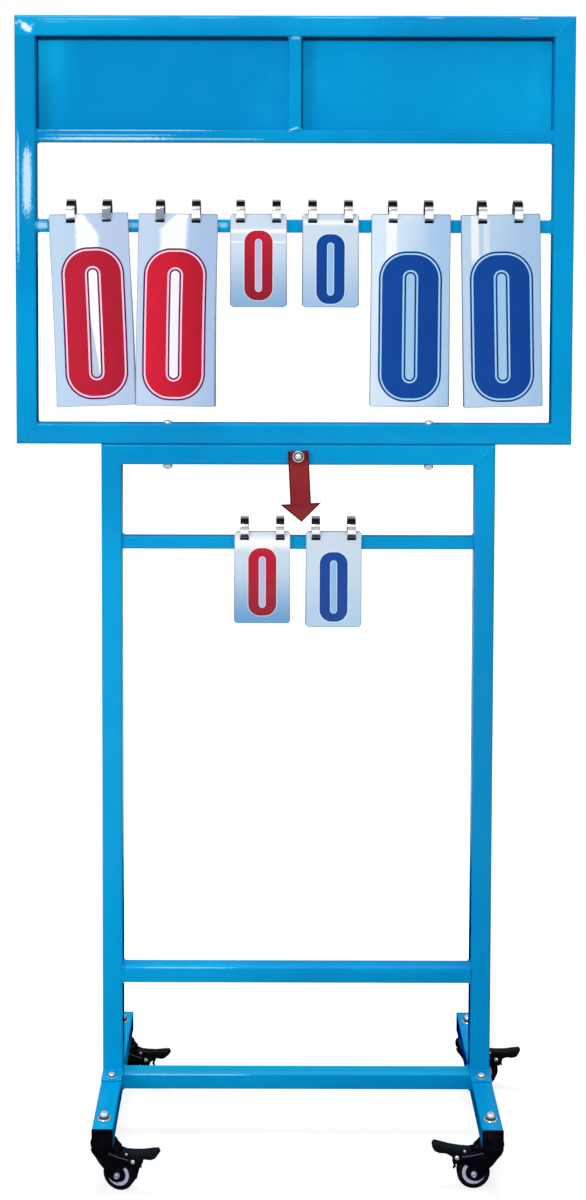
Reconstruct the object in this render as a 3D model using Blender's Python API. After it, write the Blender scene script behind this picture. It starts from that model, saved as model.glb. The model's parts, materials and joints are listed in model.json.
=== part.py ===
"""Football scoreboard: a board on a castor stand, with flip cards on ring pairs and a possession arrow.

Metres, +Z up, the board faces -Y. The origin is on the floor, under the middle of the board.
"""

import math

import bmesh
import bpy
from mathutils import Matrix, Vector

# Gaps and steel tube
TOUCH = 0.0003
MAIN_TUBE = 0.032
RAIL_TUBE = 0.020
BRACE_HEIGHT = 0.025
TUBE_WALL = 0.0015
MAIN_CORNER = 0.003
RAIL_CORNER = 0.002

# Stand
STAND_WIDTH = 0.617
STAND_HEIGHT = 1.002
STAND_SHIFT = 0.007
STAND_CARD_DROP = 0.156
BRACE_RISE = 0.153
FOOT_BRACE_RISE = 0.003
FOOT_LENGTH = 0.412
CASTOR_INSET = 0.033
PLATE_LENGTH = 0.104
PLATE_THICKNESS = 0.004
CAP_FLANGE = 0.003
CAP_PLUG = 0.014

# Board
BOARD_WIDTH = 0.868
BOARD_HEIGHT = 0.666
HEADER_OPENING = 0.1437
BOARD_CARD_DROP = 0.3252
PANEL_THICKNESS = 0.0012

# Rings and cards
RING_RADIUS = 0.0203
RING_STRIP = 0.0012
RING_WIDTH = 0.013
RING_SPACING = 0.056
RING_TOP = 0.031
RING_END_DEG = 33.0
RING_STEPS = 20
BACK_STRIP_HEIGHT = 0.009
BACK_STRIP_THICKNESS = 0.0015
BACK_STRIP_OVERHANG = 0.004
CARD_RISE = 0.009
CARD_THICKNESS = 0.0006
PACK_THICKNESS = 0.0040
SLOT_SIDE_CLEARANCE = 0.0007
BIG_CARD = (0.123, 0.300)
SMALL_CARD = (0.0875, 0.145)
BIG_CARD_CORNER = 0.002
SMALL_CARD_CORNER = 0.005
CARD_GAP_SHARES = (0.179, 0.288, 0.234, 0.299)
CARD_SWAY_SHARES = {"red_tens": 0.686, "red_ones": -0.261, "blue_tens": -0.098, "blue_ones": 0.425}
PACK_TILT_SHARE = 0.5

# Arrow
ARROW_LENGTH = 0.112
ARROW_SHAFT_WIDTH = 0.0325
ARROW_HEAD_WIDTH = 0.064
ARROW_HEAD_LENGTH = 0.0288
ARROW_THICKNESS = 0.002
ARROW_STANDOFF = 0.003
ARROW_BOLT_DROP = 0.009
ARROW_BOLT_BELOW_TOP = 0.018
ARROW_TILT_DEG = 2.9
ARROW_BOLT_RADIUS = 0.003
ARROW_WASHER_RADIUS = 0.009
ARROW_DOME_RADIUS = 0.0055
ARROW_WASHER_THICKNESS = 0.0012
ARROW_NUT_HEIGHT = 0.005
ARROW_BOLT_END = 0.002

# Bolts that hold the board on the stand
FRAME_BOLT_X = 0.205
FRAME_BOLT_RADIUS = 0.004
FRAME_DOME_RADIUS = 0.0075
FRAME_DOME_HEIGHT = 0.0045
FRAME_NUT_RADIUS = 0.0072
FRAME_NUT_HEIGHT = 0.0065
BORE_CLEARANCE = 0.0003
CUT_PAST = 0.005

# Castors
CASTOR_HEIGHT = 0.072
WHEEL_RADIUS = 0.025
WHEEL_WIDTH = 0.018
WHEEL_HUB_RADIUS = 0.0085
WHEEL_DISH = 0.0025
WHEEL_DISH_RADIUS = 0.0195
WHEEL_DISH_SLOPE = 0.001
WHEEL_TREAD = 0.003
WHEEL_ROOM = 0.003
AXLE_RADIUS = 0.004
TRAIL = 0.026
RACE_RADIUS = 0.020
RACE_HEIGHT = 0.010
CHEEK_THICKNESS = 0.002
CHEEK_BELOW_AXLE = 0.009
CHEEK_DROP = 0.006
PIN_MARGIN = 0.006
WHEEL_SIDE_CLEARANCE = 0.001
STEM_RADIUS = 0.005
STEM_NUT_RADIUS = 0.0095
STEM_NUT_HEIGHT = 0.008
STEM_WASHER_RADIUS = 0.0105
STEM_WASHER_HEIGHT = 0.0015
STEM_DOME_HEIGHT = 0.004
STEM_DEPTH = 0.008
PEDAL_WIDTH = 0.0165
PEDAL_PIN_RADIUS = 0.002
PEDAL_PIVOT = (0.052, 0.047)
PEDAL_OUTLINE = (
    (-0.023, 0.0125),
    (-0.022, 0.0065),
    (-0.012, 0.0010),
    (-0.006, -0.0040),
    (0.003, -0.0045),
    (0.0075, 0.0030),
    (0.016, 0.0075),
    (0.026, 0.0080),
    (0.033, 0.0110),
    (0.037, 0.0175),
    (0.034, 0.0225),
    (0.023, 0.0200),
    (0.010, 0.0165),
    (-0.006, 0.0140),
)
CASTOR_YAW_DEG = {"front_left": -18.0, "front_right": 180.0, "rear_left": -24.0, "rear_right": -18.0}

# Places that follow from the sizes above
FOOT_TOP = CASTOR_HEIGHT + MAIN_TUBE
POST_BASE = FOOT_TOP + TOUCH + PLATE_THICKNESS
STAND_TOP = POST_BASE + STAND_HEIGHT
BOARD_BASE = STAND_TOP + TOUCH
BOARD_TOP = BOARD_BASE + BOARD_HEIGHT
STAND_CARD_Z = STAND_TOP - STAND_CARD_DROP
BOARD_CARD_Z = BOARD_TOP - BOARD_CARD_DROP
FOOT_BRACE_Z = CASTOR_HEIGHT + FOOT_BRACE_RISE + BRACE_HEIGHT / 2
HALF_TUBE = MAIN_TUBE / 2
HALF_RAIL = RAIL_TUBE / 2
RING_CENTRE_RISE = RING_TOP - RING_RADIUS

# The width that the cards leave free in half the board, shared out as gaps from its middle to its post
CARD_ROOM = BOARD_WIDTH / 2 - MAIN_TUBE - 2 * BIG_CARD[0] - SMALL_CARD[0]
MIDDLE_GAP, SMALL_GAP, BIG_GAP, POST_GAP = (share * CARD_ROOM for share in CARD_GAP_SHARES)
SMALL_CARD_X = MIDDLE_GAP + SMALL_CARD[0] / 2
INNER_CARD_X = SMALL_CARD_X + (SMALL_CARD[0] + BIG_CARD[0]) / 2 + SMALL_GAP
OUTER_CARD_X = INNER_CARD_X + BIG_CARD[0] + BIG_GAP

# Castor cheeks
CHEEK_OUTER = WHEEL_WIDTH / 2 + WHEEL_SIDE_CLEARANCE + CHEEK_THICKNESS
CHEEK_INNER = CHEEK_OUTER - CHEEK_THICKNESS

# Colour, roughness and metallic value of each finish
FINISHES = {
    "blue_enamel": ((0.0, 0.30, 0.64), 0.22, 0.0),
    "red_enamel": ((0.24, 0.017, 0.027), 0.35, 0.0),
    "card_film": ((0.62, 0.70, 0.86), 0.25, 0.0),
    "chrome": ((0.80, 0.81, 0.83), 0.12, 1.0),
    "zinc": ((0.66, 0.67, 0.69), 0.25, 1.0),
    "black_plastic": ((0.010, 0.010, 0.014), 0.45, 0.0),
    "tread_rubber": ((0.012, 0.012, 0.014), 0.70, 0.0),
}

ROUND_STEPS = 20
SMALL_ROUND_STEPS = 16
WHEEL_STEPS = 24


def clear_scene():
    for leftover in list(bpy.data.objects):
        bpy.data.objects.remove(leftover)


def finish_material(name, finish):
    colour, roughness, metallic = FINISHES[finish]
    material = bpy.data.materials.new(name)
    material.use_nodes = True
    shader = material.node_tree.nodes["Principled BSDF"]
    shader.inputs["Base Color"].default_value = (*colour, 1.0)
    shader.inputs["Roughness"].default_value = roughness
    shader.inputs["Metallic"].default_value = metallic
    material.diffuse_color = (*colour, 1.0)
    return material


def make_object(name, shape, finish=None, at=(0.0, 0.0, 0.0), turn=(0.0, 0.0, 0.0), parent=None):
    """Turns a bmesh into an object; with no finish it is a cutter or a piece to be joined on."""
    bmesh.ops.recalc_face_normals(shape, faces=shape.faces)
    mesh = bpy.data.meshes.new(name)
    shape.to_mesh(mesh)
    shape.free()
    thing = bpy.data.objects.new(name, mesh)
    bpy.context.scene.collection.objects.link(thing)
    thing.location = at
    thing.rotation_euler = turn
    thing.parent = parent
    if finish is None:
        thing.hide_render = True
        thing.display_type = "WIRE"
    else:
        mesh.materials.append(finish_material(name, finish))
        mesh.shade_smooth()
        mesh.set_sharp_from_angle(angle=math.radians(32))
    return thing


def combine(thing, tool, operation):
    boolean = thing.modifiers.new(tool.name, "BOOLEAN")
    boolean.operation = operation
    boolean.solver = "EXACT"
    boolean.object = tool


def extruded(outline, depth):
    """A prism of an (x, z) outline, centred on y = 0."""
    shape = bmesh.new()
    corners = [shape.verts.new((x, -depth / 2, z)) for x, z in outline]
    face = shape.faces.new(corners)
    grown = bmesh.ops.extrude_face_region(shape, geom=[face])
    moved = [v for v in grown["geom"] if isinstance(v, bmesh.types.BMVert)]
    bmesh.ops.translate(shape, verts=moved, vec=(0.0, depth, 0.0))
    return shape


def block(low, high):
    shape = bmesh.new()
    bmesh.ops.create_cube(shape, size=1.0)
    low = Vector(low)
    size = Vector(high) - low
    bmesh.ops.scale(shape, vec=size, verts=shape.verts)
    bmesh.ops.translate(shape, vec=low + size / 2, verts=shape.verts)
    return shape


def rod(radius, low, high, sides):
    """A round bar along z."""
    shape = bmesh.new()
    bmesh.ops.create_cone(
        shape, cap_ends=True, segments=sides, radius1=radius, radius2=radius, depth=high - low
    )
    bmesh.ops.translate(shape, vec=(0.0, 0.0, (low + high) / 2), verts=shape.verts)
    return shape


def turned(profile, steps=ROUND_STEPS, closed=False):
    """A solid of revolution about z from (radius, z) points: from axis to axis, or a closed loop off it."""
    shape = bmesh.new()
    points = [shape.verts.new((radius, 0.0, z)) for radius, z in profile]
    ends = points[1:] + points[:1] if closed else points[1:]
    edges = [shape.edges.new(pair) for pair in zip(points, ends)]
    bmesh.ops.spin(
        shape,
        geom=points + edges,
        cent=(0.0, 0.0, 0.0),
        axis=(0.0, 0.0, 1.0),
        angle=math.tau,
        steps=steps,
        use_merge=True,
    )
    bmesh.ops.remove_doubles(shape, verts=shape.verts, dist=1e-6)
    return shape


def dome(base_radius, base, height, rings=3):
    """Profile points of a domed end, from its rim up to the axis."""
    steps = [math.radians(90) * i / rings for i in range(rings + 1)]
    return [(base_radius * math.cos(a), base + height * math.sin(a)) for a in steps]


def hollow_tube(wide, deep, length, corner, slope_low=0.0, slope_high=0.0):
    """A square steel tube along z with open ends; a slope cuts that end as a mitre across x."""
    shape = bmesh.new()
    bmesh.ops.create_grid(shape, x_segments=1, y_segments=1, size=0.5)
    bmesh.ops.scale(shape, vec=(wide, deep, 1.0), verts=shape.verts)
    bmesh.ops.bevel(
        shape, geom=shape.verts[:], offset=corner, segments=2, profile=0.5, affect="VERTICES", material=-1
    )
    middle = shape.faces[:]
    bmesh.ops.inset_individual(shape, faces=middle, thickness=TUBE_WALL, use_even_offset=True)
    bmesh.ops.delete(shape, geom=middle, context="FACES")
    grown = bmesh.ops.extrude_face_region(shape, geom=shape.faces[:])
    high = [v for v in grown["geom"] if isinstance(v, bmesh.types.BMVert)]
    low = [v for v in shape.verts if v not in set(high)]
    for vert in low:
        vert.co.z = -length / 2 + slope_low * vert.co.x
    for vert in high:
        vert.co.z = length / 2 + slope_high * vert.co.x
    return shape


ACROSS = (0.0, math.pi / 2, 0.0)
ALONG = (-math.pi / 2, 0.0, 0.0)
UPRIGHT = (0.0, 0.0, 0.0)
MITRE_GAP = TOUCH / math.sqrt(2)


def board_frame():
    """Four mitred tubes, the header rail and its mullion, the header sheet and the card rail."""
    middle_z = (BOARD_BASE + BOARD_TOP) / 2
    rail_run = BOARD_WIDTH - MAIN_TUBE - 2 * MITRE_GAP
    post_run = BOARD_HEIGHT - MAIN_TUBE - 2 * MITRE_GAP
    post_x = (BOARD_WIDTH - MAIN_TUBE) / 2
    for side, name in ((-1, "board_left_post"), (1, "board_right_post")):
        shape = hollow_tube(MAIN_TUBE, MAIN_TUBE, post_run, MAIN_CORNER, -side, side)
        make_object(name, shape, "blue_enamel", (side * post_x, 0.0, middle_z), UPRIGHT)
    top_z = BOARD_TOP - HALF_TUBE
    top = hollow_tube(MAIN_TUBE, MAIN_TUBE, rail_run, MAIN_CORNER, 1, -1)
    make_object("board_top_rail", top, "blue_enamel", (0.0, 0.0, top_z), ACROSS)
    base = hollow_tube(MAIN_TUBE, MAIN_TUBE, rail_run, MAIN_CORNER, -1, 1)
    base_rail = make_object(
        "board_bottom_rail", base, "blue_enamel", (0.0, 0.0, BOARD_BASE + HALF_TUBE), ACROSS
    )

    inside = BOARD_WIDTH - 2 * MAIN_TUBE - 2 * TOUCH
    header_rail_z = BOARD_TOP - MAIN_TUBE - HEADER_OPENING - HALF_RAIL
    header_rail = hollow_tube(RAIL_TUBE, RAIL_TUBE, inside, RAIL_CORNER)
    make_object("header_rail", header_rail, "blue_enamel", (0.0, 0.0, header_rail_z), ACROSS)
    mullion = hollow_tube(RAIL_TUBE, RAIL_TUBE, HEADER_OPENING - 2 * TOUCH, RAIL_CORNER)
    mullion_z = BOARD_TOP - MAIN_TUBE - HEADER_OPENING / 2
    make_object("header_mullion", mullion, "blue_enamel", (0.0, 0.0, mullion_z), UPRIGHT)
    sheet_front = HALF_RAIL + TOUCH
    sheet = block(
        (-inside / 2, sheet_front, header_rail_z - HALF_RAIL),
        (inside / 2, sheet_front + PANEL_THICKNESS, BOARD_TOP - MAIN_TUBE - TOUCH),
    )
    make_object("header_panel", sheet, "blue_enamel")
    card_rail = hollow_tube(RAIL_TUBE, RAIL_TUBE, inside, RAIL_CORNER)
    make_object("board_card_rail", card_rail, "blue_enamel", (0.0, 0.0, BOARD_CARD_Z), ACROSS)
    return base_rail


def stand_frame():
    """The upright frame, its braces and its feet."""
    post_x = (STAND_WIDTH - MAIN_TUBE) / 2
    overlap = PLATE_THICKNESS / 2
    post_run = STAND_HEIGHT - HALF_TUBE - MITRE_GAP + overlap
    post_z = POST_BASE - overlap + post_run / 2
    plate_low = (-HALF_TUBE, -PLATE_LENGTH / 2, FOOT_TOP + TOUCH - post_z)
    plate_high = (HALF_TUBE, PLATE_LENGTH / 2, POST_BASE - post_z)
    for side, name in ((-1, "stand_left_post"), (1, "stand_right_post")):
        at = (STAND_SHIFT + side * post_x, 0.0, post_z)
        shape = hollow_tube(MAIN_TUBE, MAIN_TUBE, post_run, MAIN_CORNER, 0.0, side)
        post = make_object(name, shape, "blue_enamel", at)
        plate = make_object(f"{name}_base_plate", block(plate_low, plate_high), at=at)
        combine(post, plate, "UNION")

    rail_run = STAND_WIDTH - MAIN_TUBE - 2 * MITRE_GAP
    top = hollow_tube(MAIN_TUBE, MAIN_TUBE, rail_run, MAIN_CORNER, 1, -1)
    top_rail = make_object(
        "stand_top_rail", top, "blue_enamel", (STAND_SHIFT, 0.0, STAND_TOP - HALF_TUBE), ACROSS
    )
    inside = STAND_WIDTH - 2 * MAIN_TUBE - 2 * TOUCH
    cross_rails = (
        ("stand_card_rail", RAIL_TUBE, RAIL_TUBE, RAIL_CORNER, STAND_CARD_Z),
        ("stand_brace", BRACE_HEIGHT, MAIN_TUBE, RAIL_CORNER, POST_BASE + BRACE_RISE),
        ("foot_brace", BRACE_HEIGHT, MAIN_TUBE, RAIL_CORNER, FOOT_BRACE_Z),
    )
    for name, high, deep, corner, z in cross_rails:
        shape = hollow_tube(high, deep, inside, corner)
        make_object(name, shape, "blue_enamel", (STAND_SHIFT, 0.0, z), ACROSS)

    for side, name in ((-1, "left"), (1, "right")):
        foot_x = STAND_SHIFT + side * post_x
        foot_z = CASTOR_HEIGHT + HALF_TUBE
        shape = hollow_tube(MAIN_TUBE, MAIN_TUBE, FOOT_LENGTH, MAIN_CORNER)
        foot = make_object(f"{name}_foot", shape, "blue_enamel", (foot_x, 0.0, foot_z), ALONG)
        for end, end_name in ((-1, "front"), (1, "rear")):
            foot_end(f"{end_name}_{name}", foot, foot_x, foot_z, end)
    return top_rail


def foot_end(corner, foot, foot_x, foot_z, end):
    """The moulded cap in one end of a foot, and the hole for the castor's stem."""
    flange = (-HALF_TUBE, TOUCH, -HALF_TUBE)
    flange_far = (HALF_TUBE, TOUCH + CAP_FLANGE, HALF_TUBE)
    shape = block(flange, flange_far)
    inner_face = min(shape.faces, key=lambda face: face.calc_center_median().y)
    bmesh.ops.inset_region(shape, faces=[inner_face], thickness=TUBE_WALL + MAIN_CORNER / 2)
    grown = bmesh.ops.extrude_face_region(shape, geom=[inner_face])
    plug = [v for v in grown["geom"] if isinstance(v, bmesh.types.BMVert)]
    bmesh.ops.delete(shape, geom=[inner_face], context="FACES_ONLY")
    bmesh.ops.translate(shape, verts=plug, vec=(0.0, -CAP_PLUG, 0.0))
    rim = [
        edge
        for edge in shape.edges
        if all(vert.co.y > TOUCH + CAP_FLANGE / 2 for vert in edge.verts)
        or abs(edge.verts[0].co.y - edge.verts[1].co.y) > CAP_FLANGE * 0.9
        and max(abs(edge.verts[0].co.x), abs(edge.verts[0].co.z)) > HALF_TUBE * 0.99
    ]
    bmesh.ops.bevel(
        shape, geom=rim, offset=CAP_FLANGE / 3, segments=2, profile=0.5, affect="EDGES", material=-1
    )
    turn = (0.0, 0.0, 0.0 if end > 0 else math.pi)
    make_object(f"foot_cap_{corner}", shape, "black_plastic", (foot_x, end * FOOT_LENGTH / 2, foot_z), turn)

    stem_y = end * (FOOT_LENGTH / 2 - CASTOR_INSET)
    low = CASTOR_HEIGHT - CUT_PAST
    hole = rod(STEM_RADIUS + BORE_CLEARANCE, low, FOOT_TOP + CUT_PAST, SMALL_ROUND_STEPS)
    hole = make_object(f"stem_hole_{corner}", hole, at=(foot_x, stem_y, 0.0))
    combine(foot, hole, "DIFFERENCE")


def frame_bolts(board_rail, stand_rail):
    """Two domed bolts with nuts, down through the board's bottom rail and the stand's top rail."""
    head = BOARD_BASE + MAIN_TUBE + TOUCH
    under = STAND_TOP - MAIN_TUBE - TOUCH
    tip = under - FRAME_NUT_HEIGHT - FRAME_BOLT_RADIUS / 2
    for side, name in ((-1, "left"), (1, "right")):
        at = (STAND_SHIFT + side * FRAME_BOLT_X, 0.0, 0.0)
        profile = [
            (0.0, tip),
            (FRAME_BOLT_RADIUS * 0.8, tip),
            (FRAME_BOLT_RADIUS, tip + FRAME_BOLT_RADIUS * 0.2),
            (FRAME_BOLT_RADIUS, under - FRAME_NUT_HEIGHT),
            (FRAME_NUT_RADIUS, under - FRAME_NUT_HEIGHT),
            (FRAME_NUT_RADIUS, under),
            (FRAME_BOLT_RADIUS, under),
            (FRAME_BOLT_RADIUS, head),
            *dome(FRAME_DOME_RADIUS, head, FRAME_DOME_HEIGHT),
        ]
        make_object(f"frame_bolt_{name}", turned(profile, SMALL_ROUND_STEPS), "zinc", at)
        bore_radius = FRAME_BOLT_RADIUS + BORE_CLEARANCE
        bore = rod(bore_radius, under - CUT_PAST, head + CUT_PAST, SMALL_ROUND_STEPS)
        bore = make_object(f"frame_bolt_bore_{name}", bore, at=at)
        combine(board_rail, bore, "DIFFERENCE")
        combine(stand_rail, bore, "DIFFERENCE")


def ring_pair(name, x, rail_z):
    """Two chromed strip rings on a back strip; their front ends meet the rail, where cards go on."""
    rail_top = rail_z + HALF_RAIL
    centre = Vector((0.0, 0.0, RING_CENTRE_RISE))
    at = (x, 0.0, rail_top)
    half_run = RING_SPACING / 2 + RING_WIDTH / 2 + BACK_STRIP_OVERHANG
    end_z = RING_CENTRE_RISE - (RING_RADIUS - RING_STRIP) * math.cos(math.radians(RING_END_DEG))
    back_face = HALF_RAIL + TOUCH
    strip = block(
        (-half_run, back_face, end_z - BACK_STRIP_HEIGHT),
        (half_run, back_face + BACK_STRIP_THICKNESS, end_z + RING_STRIP),
    )
    pair = make_object(name, strip, "chrome", at)
    start = math.radians(RING_END_DEG)
    for side, side_name in ((-1, "left"), (1, "right")):
        ring_x = side * RING_SPACING / 2
        shape = bmesh.new()
        bmesh.ops.create_grid(shape, x_segments=1, y_segments=1, size=0.5)
        bmesh.ops.scale(shape, vec=(RING_WIDTH, RING_STRIP, 1.0), verts=shape.verts)
        on_edge = Matrix.Rotation(math.pi / 2, 3, "X")
        bmesh.ops.rotate(shape, cent=(0, 0, 0), matrix=on_edge, verts=shape.verts)
        bmesh.ops.translate(shape, vec=(ring_x, 0.0, -(RING_RADIUS - RING_STRIP / 2)), verts=shape.verts)
        to_start = Matrix.Rotation(-start, 3, "X")
        bmesh.ops.rotate(shape, cent=(0, 0, 0), matrix=to_start, verts=shape.verts)
        bmesh.ops.spin(
            shape,
            geom=shape.faces[:] + shape.edges[:] + shape.verts[:],
            cent=(0.0, 0.0, 0.0),
            axis=(-1.0, 0.0, 0.0),
            angle=math.tau - 2 * start,
            steps=RING_STEPS,
        )
        bmesh.ops.translate(shape, vec=centre, verts=shape.verts)
        loop = make_object(f"{name}_{side_name}_loop", shape, at=at)
        combine(pair, loop, "UNION")


def crossing(radius, depth):
    """How far below the ring's centre a circle of this radius crosses a card plane at this depth."""
    return math.sqrt(radius**2 - depth**2)


def card_solid(name, hinge, size, corner, near, far, tilt_deg, finish="card_film"):
    """A slotted card, or a stack of them, hung on a ring pair. Its origin is the rings' centre line.

    near and far are the depths in front of that line of its rear and front face.
    """
    width, height = size
    top = RING_CENTRE_RISE - CARD_RISE
    shape = block((-width / 2, -far, -top - height), (width / 2, -near, -top))
    upright = [e for e in shape.edges if abs(e.verts[0].co.y - e.verts[1].co.y) > (far - near) / 2]
    bmesh.ops.bevel(shape, geom=upright, offset=corner, segments=3, profile=0.5, affect="EDGES", material=-1)

    lean = math.radians(tilt_deg)
    slack = TOUCH + (RING_SPACING + RING_WIDTH) / 2 * math.sin(abs(lean))
    slot_top = crossing(RING_RADIUS - RING_STRIP, far) - slack
    slot_base = crossing(RING_RADIUS, near) + slack
    half_slot = RING_WIDTH / 2 + SLOT_SIDE_CLEARANCE
    slots = bmesh.new()
    for side in (-1, 1):
        slot_x = side * RING_SPACING / 2
        one = block(
            (slot_x - half_slot, -far - CUT_PAST, -slot_base),
            (slot_x + half_slot, -near + CUT_PAST, -slot_top),
        )
        piece = bpy.data.meshes.new("slot")
        one.to_mesh(piece)
        one.free()
        slots.from_mesh(piece)
        bpy.data.meshes.remove(piece)
    pivot = (0.0, 0.0, -(slot_top + slot_base) / 2)
    for part in (shape, slots):
        bmesh.ops.rotate(part, cent=pivot, matrix=Matrix.Rotation(-lean, 3, "Y"), verts=part.verts)
    card = make_object(name, shape, finish, hinge)
    cutter = make_object(f"{name}_slots", slots, at=hinge)
    combine(card, cutter, "DIFFERENCE")


def card_sets():
    """Ring pairs and cards: four big two-part sets, and four small sets that are one stack each."""
    pack_near = HALF_RAIL + TOUCH
    pack_far = pack_near + PACK_THICKNESS
    card_near = pack_far + TOUCH
    card_far = card_near + CARD_THICKNESS
    big = (
        ("red_tens", -OUTER_CARD_X),
        ("red_ones", -INNER_CARD_X),
        ("blue_tens", INNER_CARD_X),
        ("blue_ones", OUTER_CARD_X),
    )
    for name, x in big:
        hinge = (x, 0.0, BOARD_CARD_Z + HALF_RAIL + RING_CENTRE_RISE)
        tilt = math.degrees(math.asin(CARD_SWAY_SHARES[name] * BIG_GAP / BIG_CARD[1]))
        ring_pair(f"{name}_rings", x, BOARD_CARD_Z)
        card_solid(f"{name}_front_card", hinge, BIG_CARD, BIG_CARD_CORNER, card_near, card_far, tilt)
        card_solid(
            f"{name}_pack", hinge, BIG_CARD, BIG_CARD_CORNER, pack_near, pack_far, tilt * PACK_TILT_SHARE
        )
    small = (
        ("period_red", -SMALL_CARD_X, BOARD_CARD_Z),
        ("period_blue", SMALL_CARD_X, BOARD_CARD_Z),
        ("foul_red", STAND_SHIFT - SMALL_CARD_X, STAND_CARD_Z),
        ("foul_blue", STAND_SHIFT + SMALL_CARD_X, STAND_CARD_Z),
    )
    for name, x, rail_z in small:
        hinge = (x, 0.0, rail_z + HALF_RAIL + RING_CENTRE_RISE)
        ring_pair(f"{name}_rings", x, rail_z)
        card_solid(f"{name}_cards", hinge, SMALL_CARD, SMALL_CARD_CORNER, pack_near, card_far, 0.0)


def arrow(stand_rail):
    """The possession arrow, loose on a bolt in the stand's top rail, and the bolt with its spacer."""
    pivot = (STAND_SHIFT, 0.0, STAND_TOP - ARROW_BOLT_BELOW_TOP)
    shaft = ARROW_SHAFT_WIDTH / 2
    head = ARROW_HEAD_WIDTH / 2
    top = ARROW_BOLT_DROP
    tip = top - ARROW_LENGTH
    neck = tip + ARROW_HEAD_LENGTH
    left = [(-shaft, top), (-shaft, neck), (-head, neck)]
    outline = [*left, (0.0, tip), *((-x, z) for x, z in reversed(left))]
    plate_back = -(HALF_TUBE + ARROW_STANDOFF + TOUCH)
    plate_middle = plate_back - ARROW_THICKNESS / 2
    shape = extruded(outline, ARROW_THICKNESS)
    bmesh.ops.translate(shape, vec=(0.0, plate_middle, 0.0), verts=shape.verts)
    lean = Matrix.Rotation(math.radians(-ARROW_TILT_DEG), 3, "Y")
    bmesh.ops.rotate(shape, cent=(0, 0, 0), matrix=lean, verts=shape.verts)
    plate = make_object("possession_arrow", shape, "red_enamel", pivot)
    reach = MAIN_TUBE
    bore = rod(ARROW_BOLT_RADIUS + BORE_CLEARANCE, -reach, reach, SMALL_ROUND_STEPS)
    bore = make_object("arrow_bore", bore, at=pivot, turn=ALONG)
    combine(plate, bore, "DIFFERENCE")
    combine(stand_rail, bore, "DIFFERENCE")

    # The bolt's profile runs along z and is turned to face -Y: z is the depth in front of the stand's middle
    spacer_back = HALF_TUBE + TOUCH
    spacer_front = HALF_TUBE + ARROW_STANDOFF
    washer_back = -plate_back + ARROW_THICKNESS + TOUCH
    washer_front = washer_back + ARROW_WASHER_THICKNESS
    nut_front = -HALF_TUBE - TOUCH
    nut_back = nut_front - ARROW_NUT_HEIGHT
    profile = [
        (0.0, nut_back - ARROW_BOLT_END),
        (ARROW_BOLT_RADIUS, nut_back - ARROW_BOLT_END),
        (ARROW_BOLT_RADIUS, nut_back),
        (ARROW_DOME_RADIUS, nut_back),
        (ARROW_DOME_RADIUS, nut_front),
        (ARROW_BOLT_RADIUS, nut_front),
        (ARROW_BOLT_RADIUS, spacer_back),
        (ARROW_DOME_RADIUS, spacer_back),
        (ARROW_DOME_RADIUS, spacer_front),
        (ARROW_BOLT_RADIUS, spacer_front),
        (ARROW_BOLT_RADIUS, washer_back),
        (ARROW_WASHER_RADIUS, washer_back),
        (ARROW_WASHER_RADIUS, washer_front),
        *dome(ARROW_DOME_RADIUS, washer_front, ARROW_DOME_RADIUS * 0.9),
    ]
    make_object("arrow_bolt", turned(profile), "zinc", pivot, (math.pi / 2, 0.0, 0.0))


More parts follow.
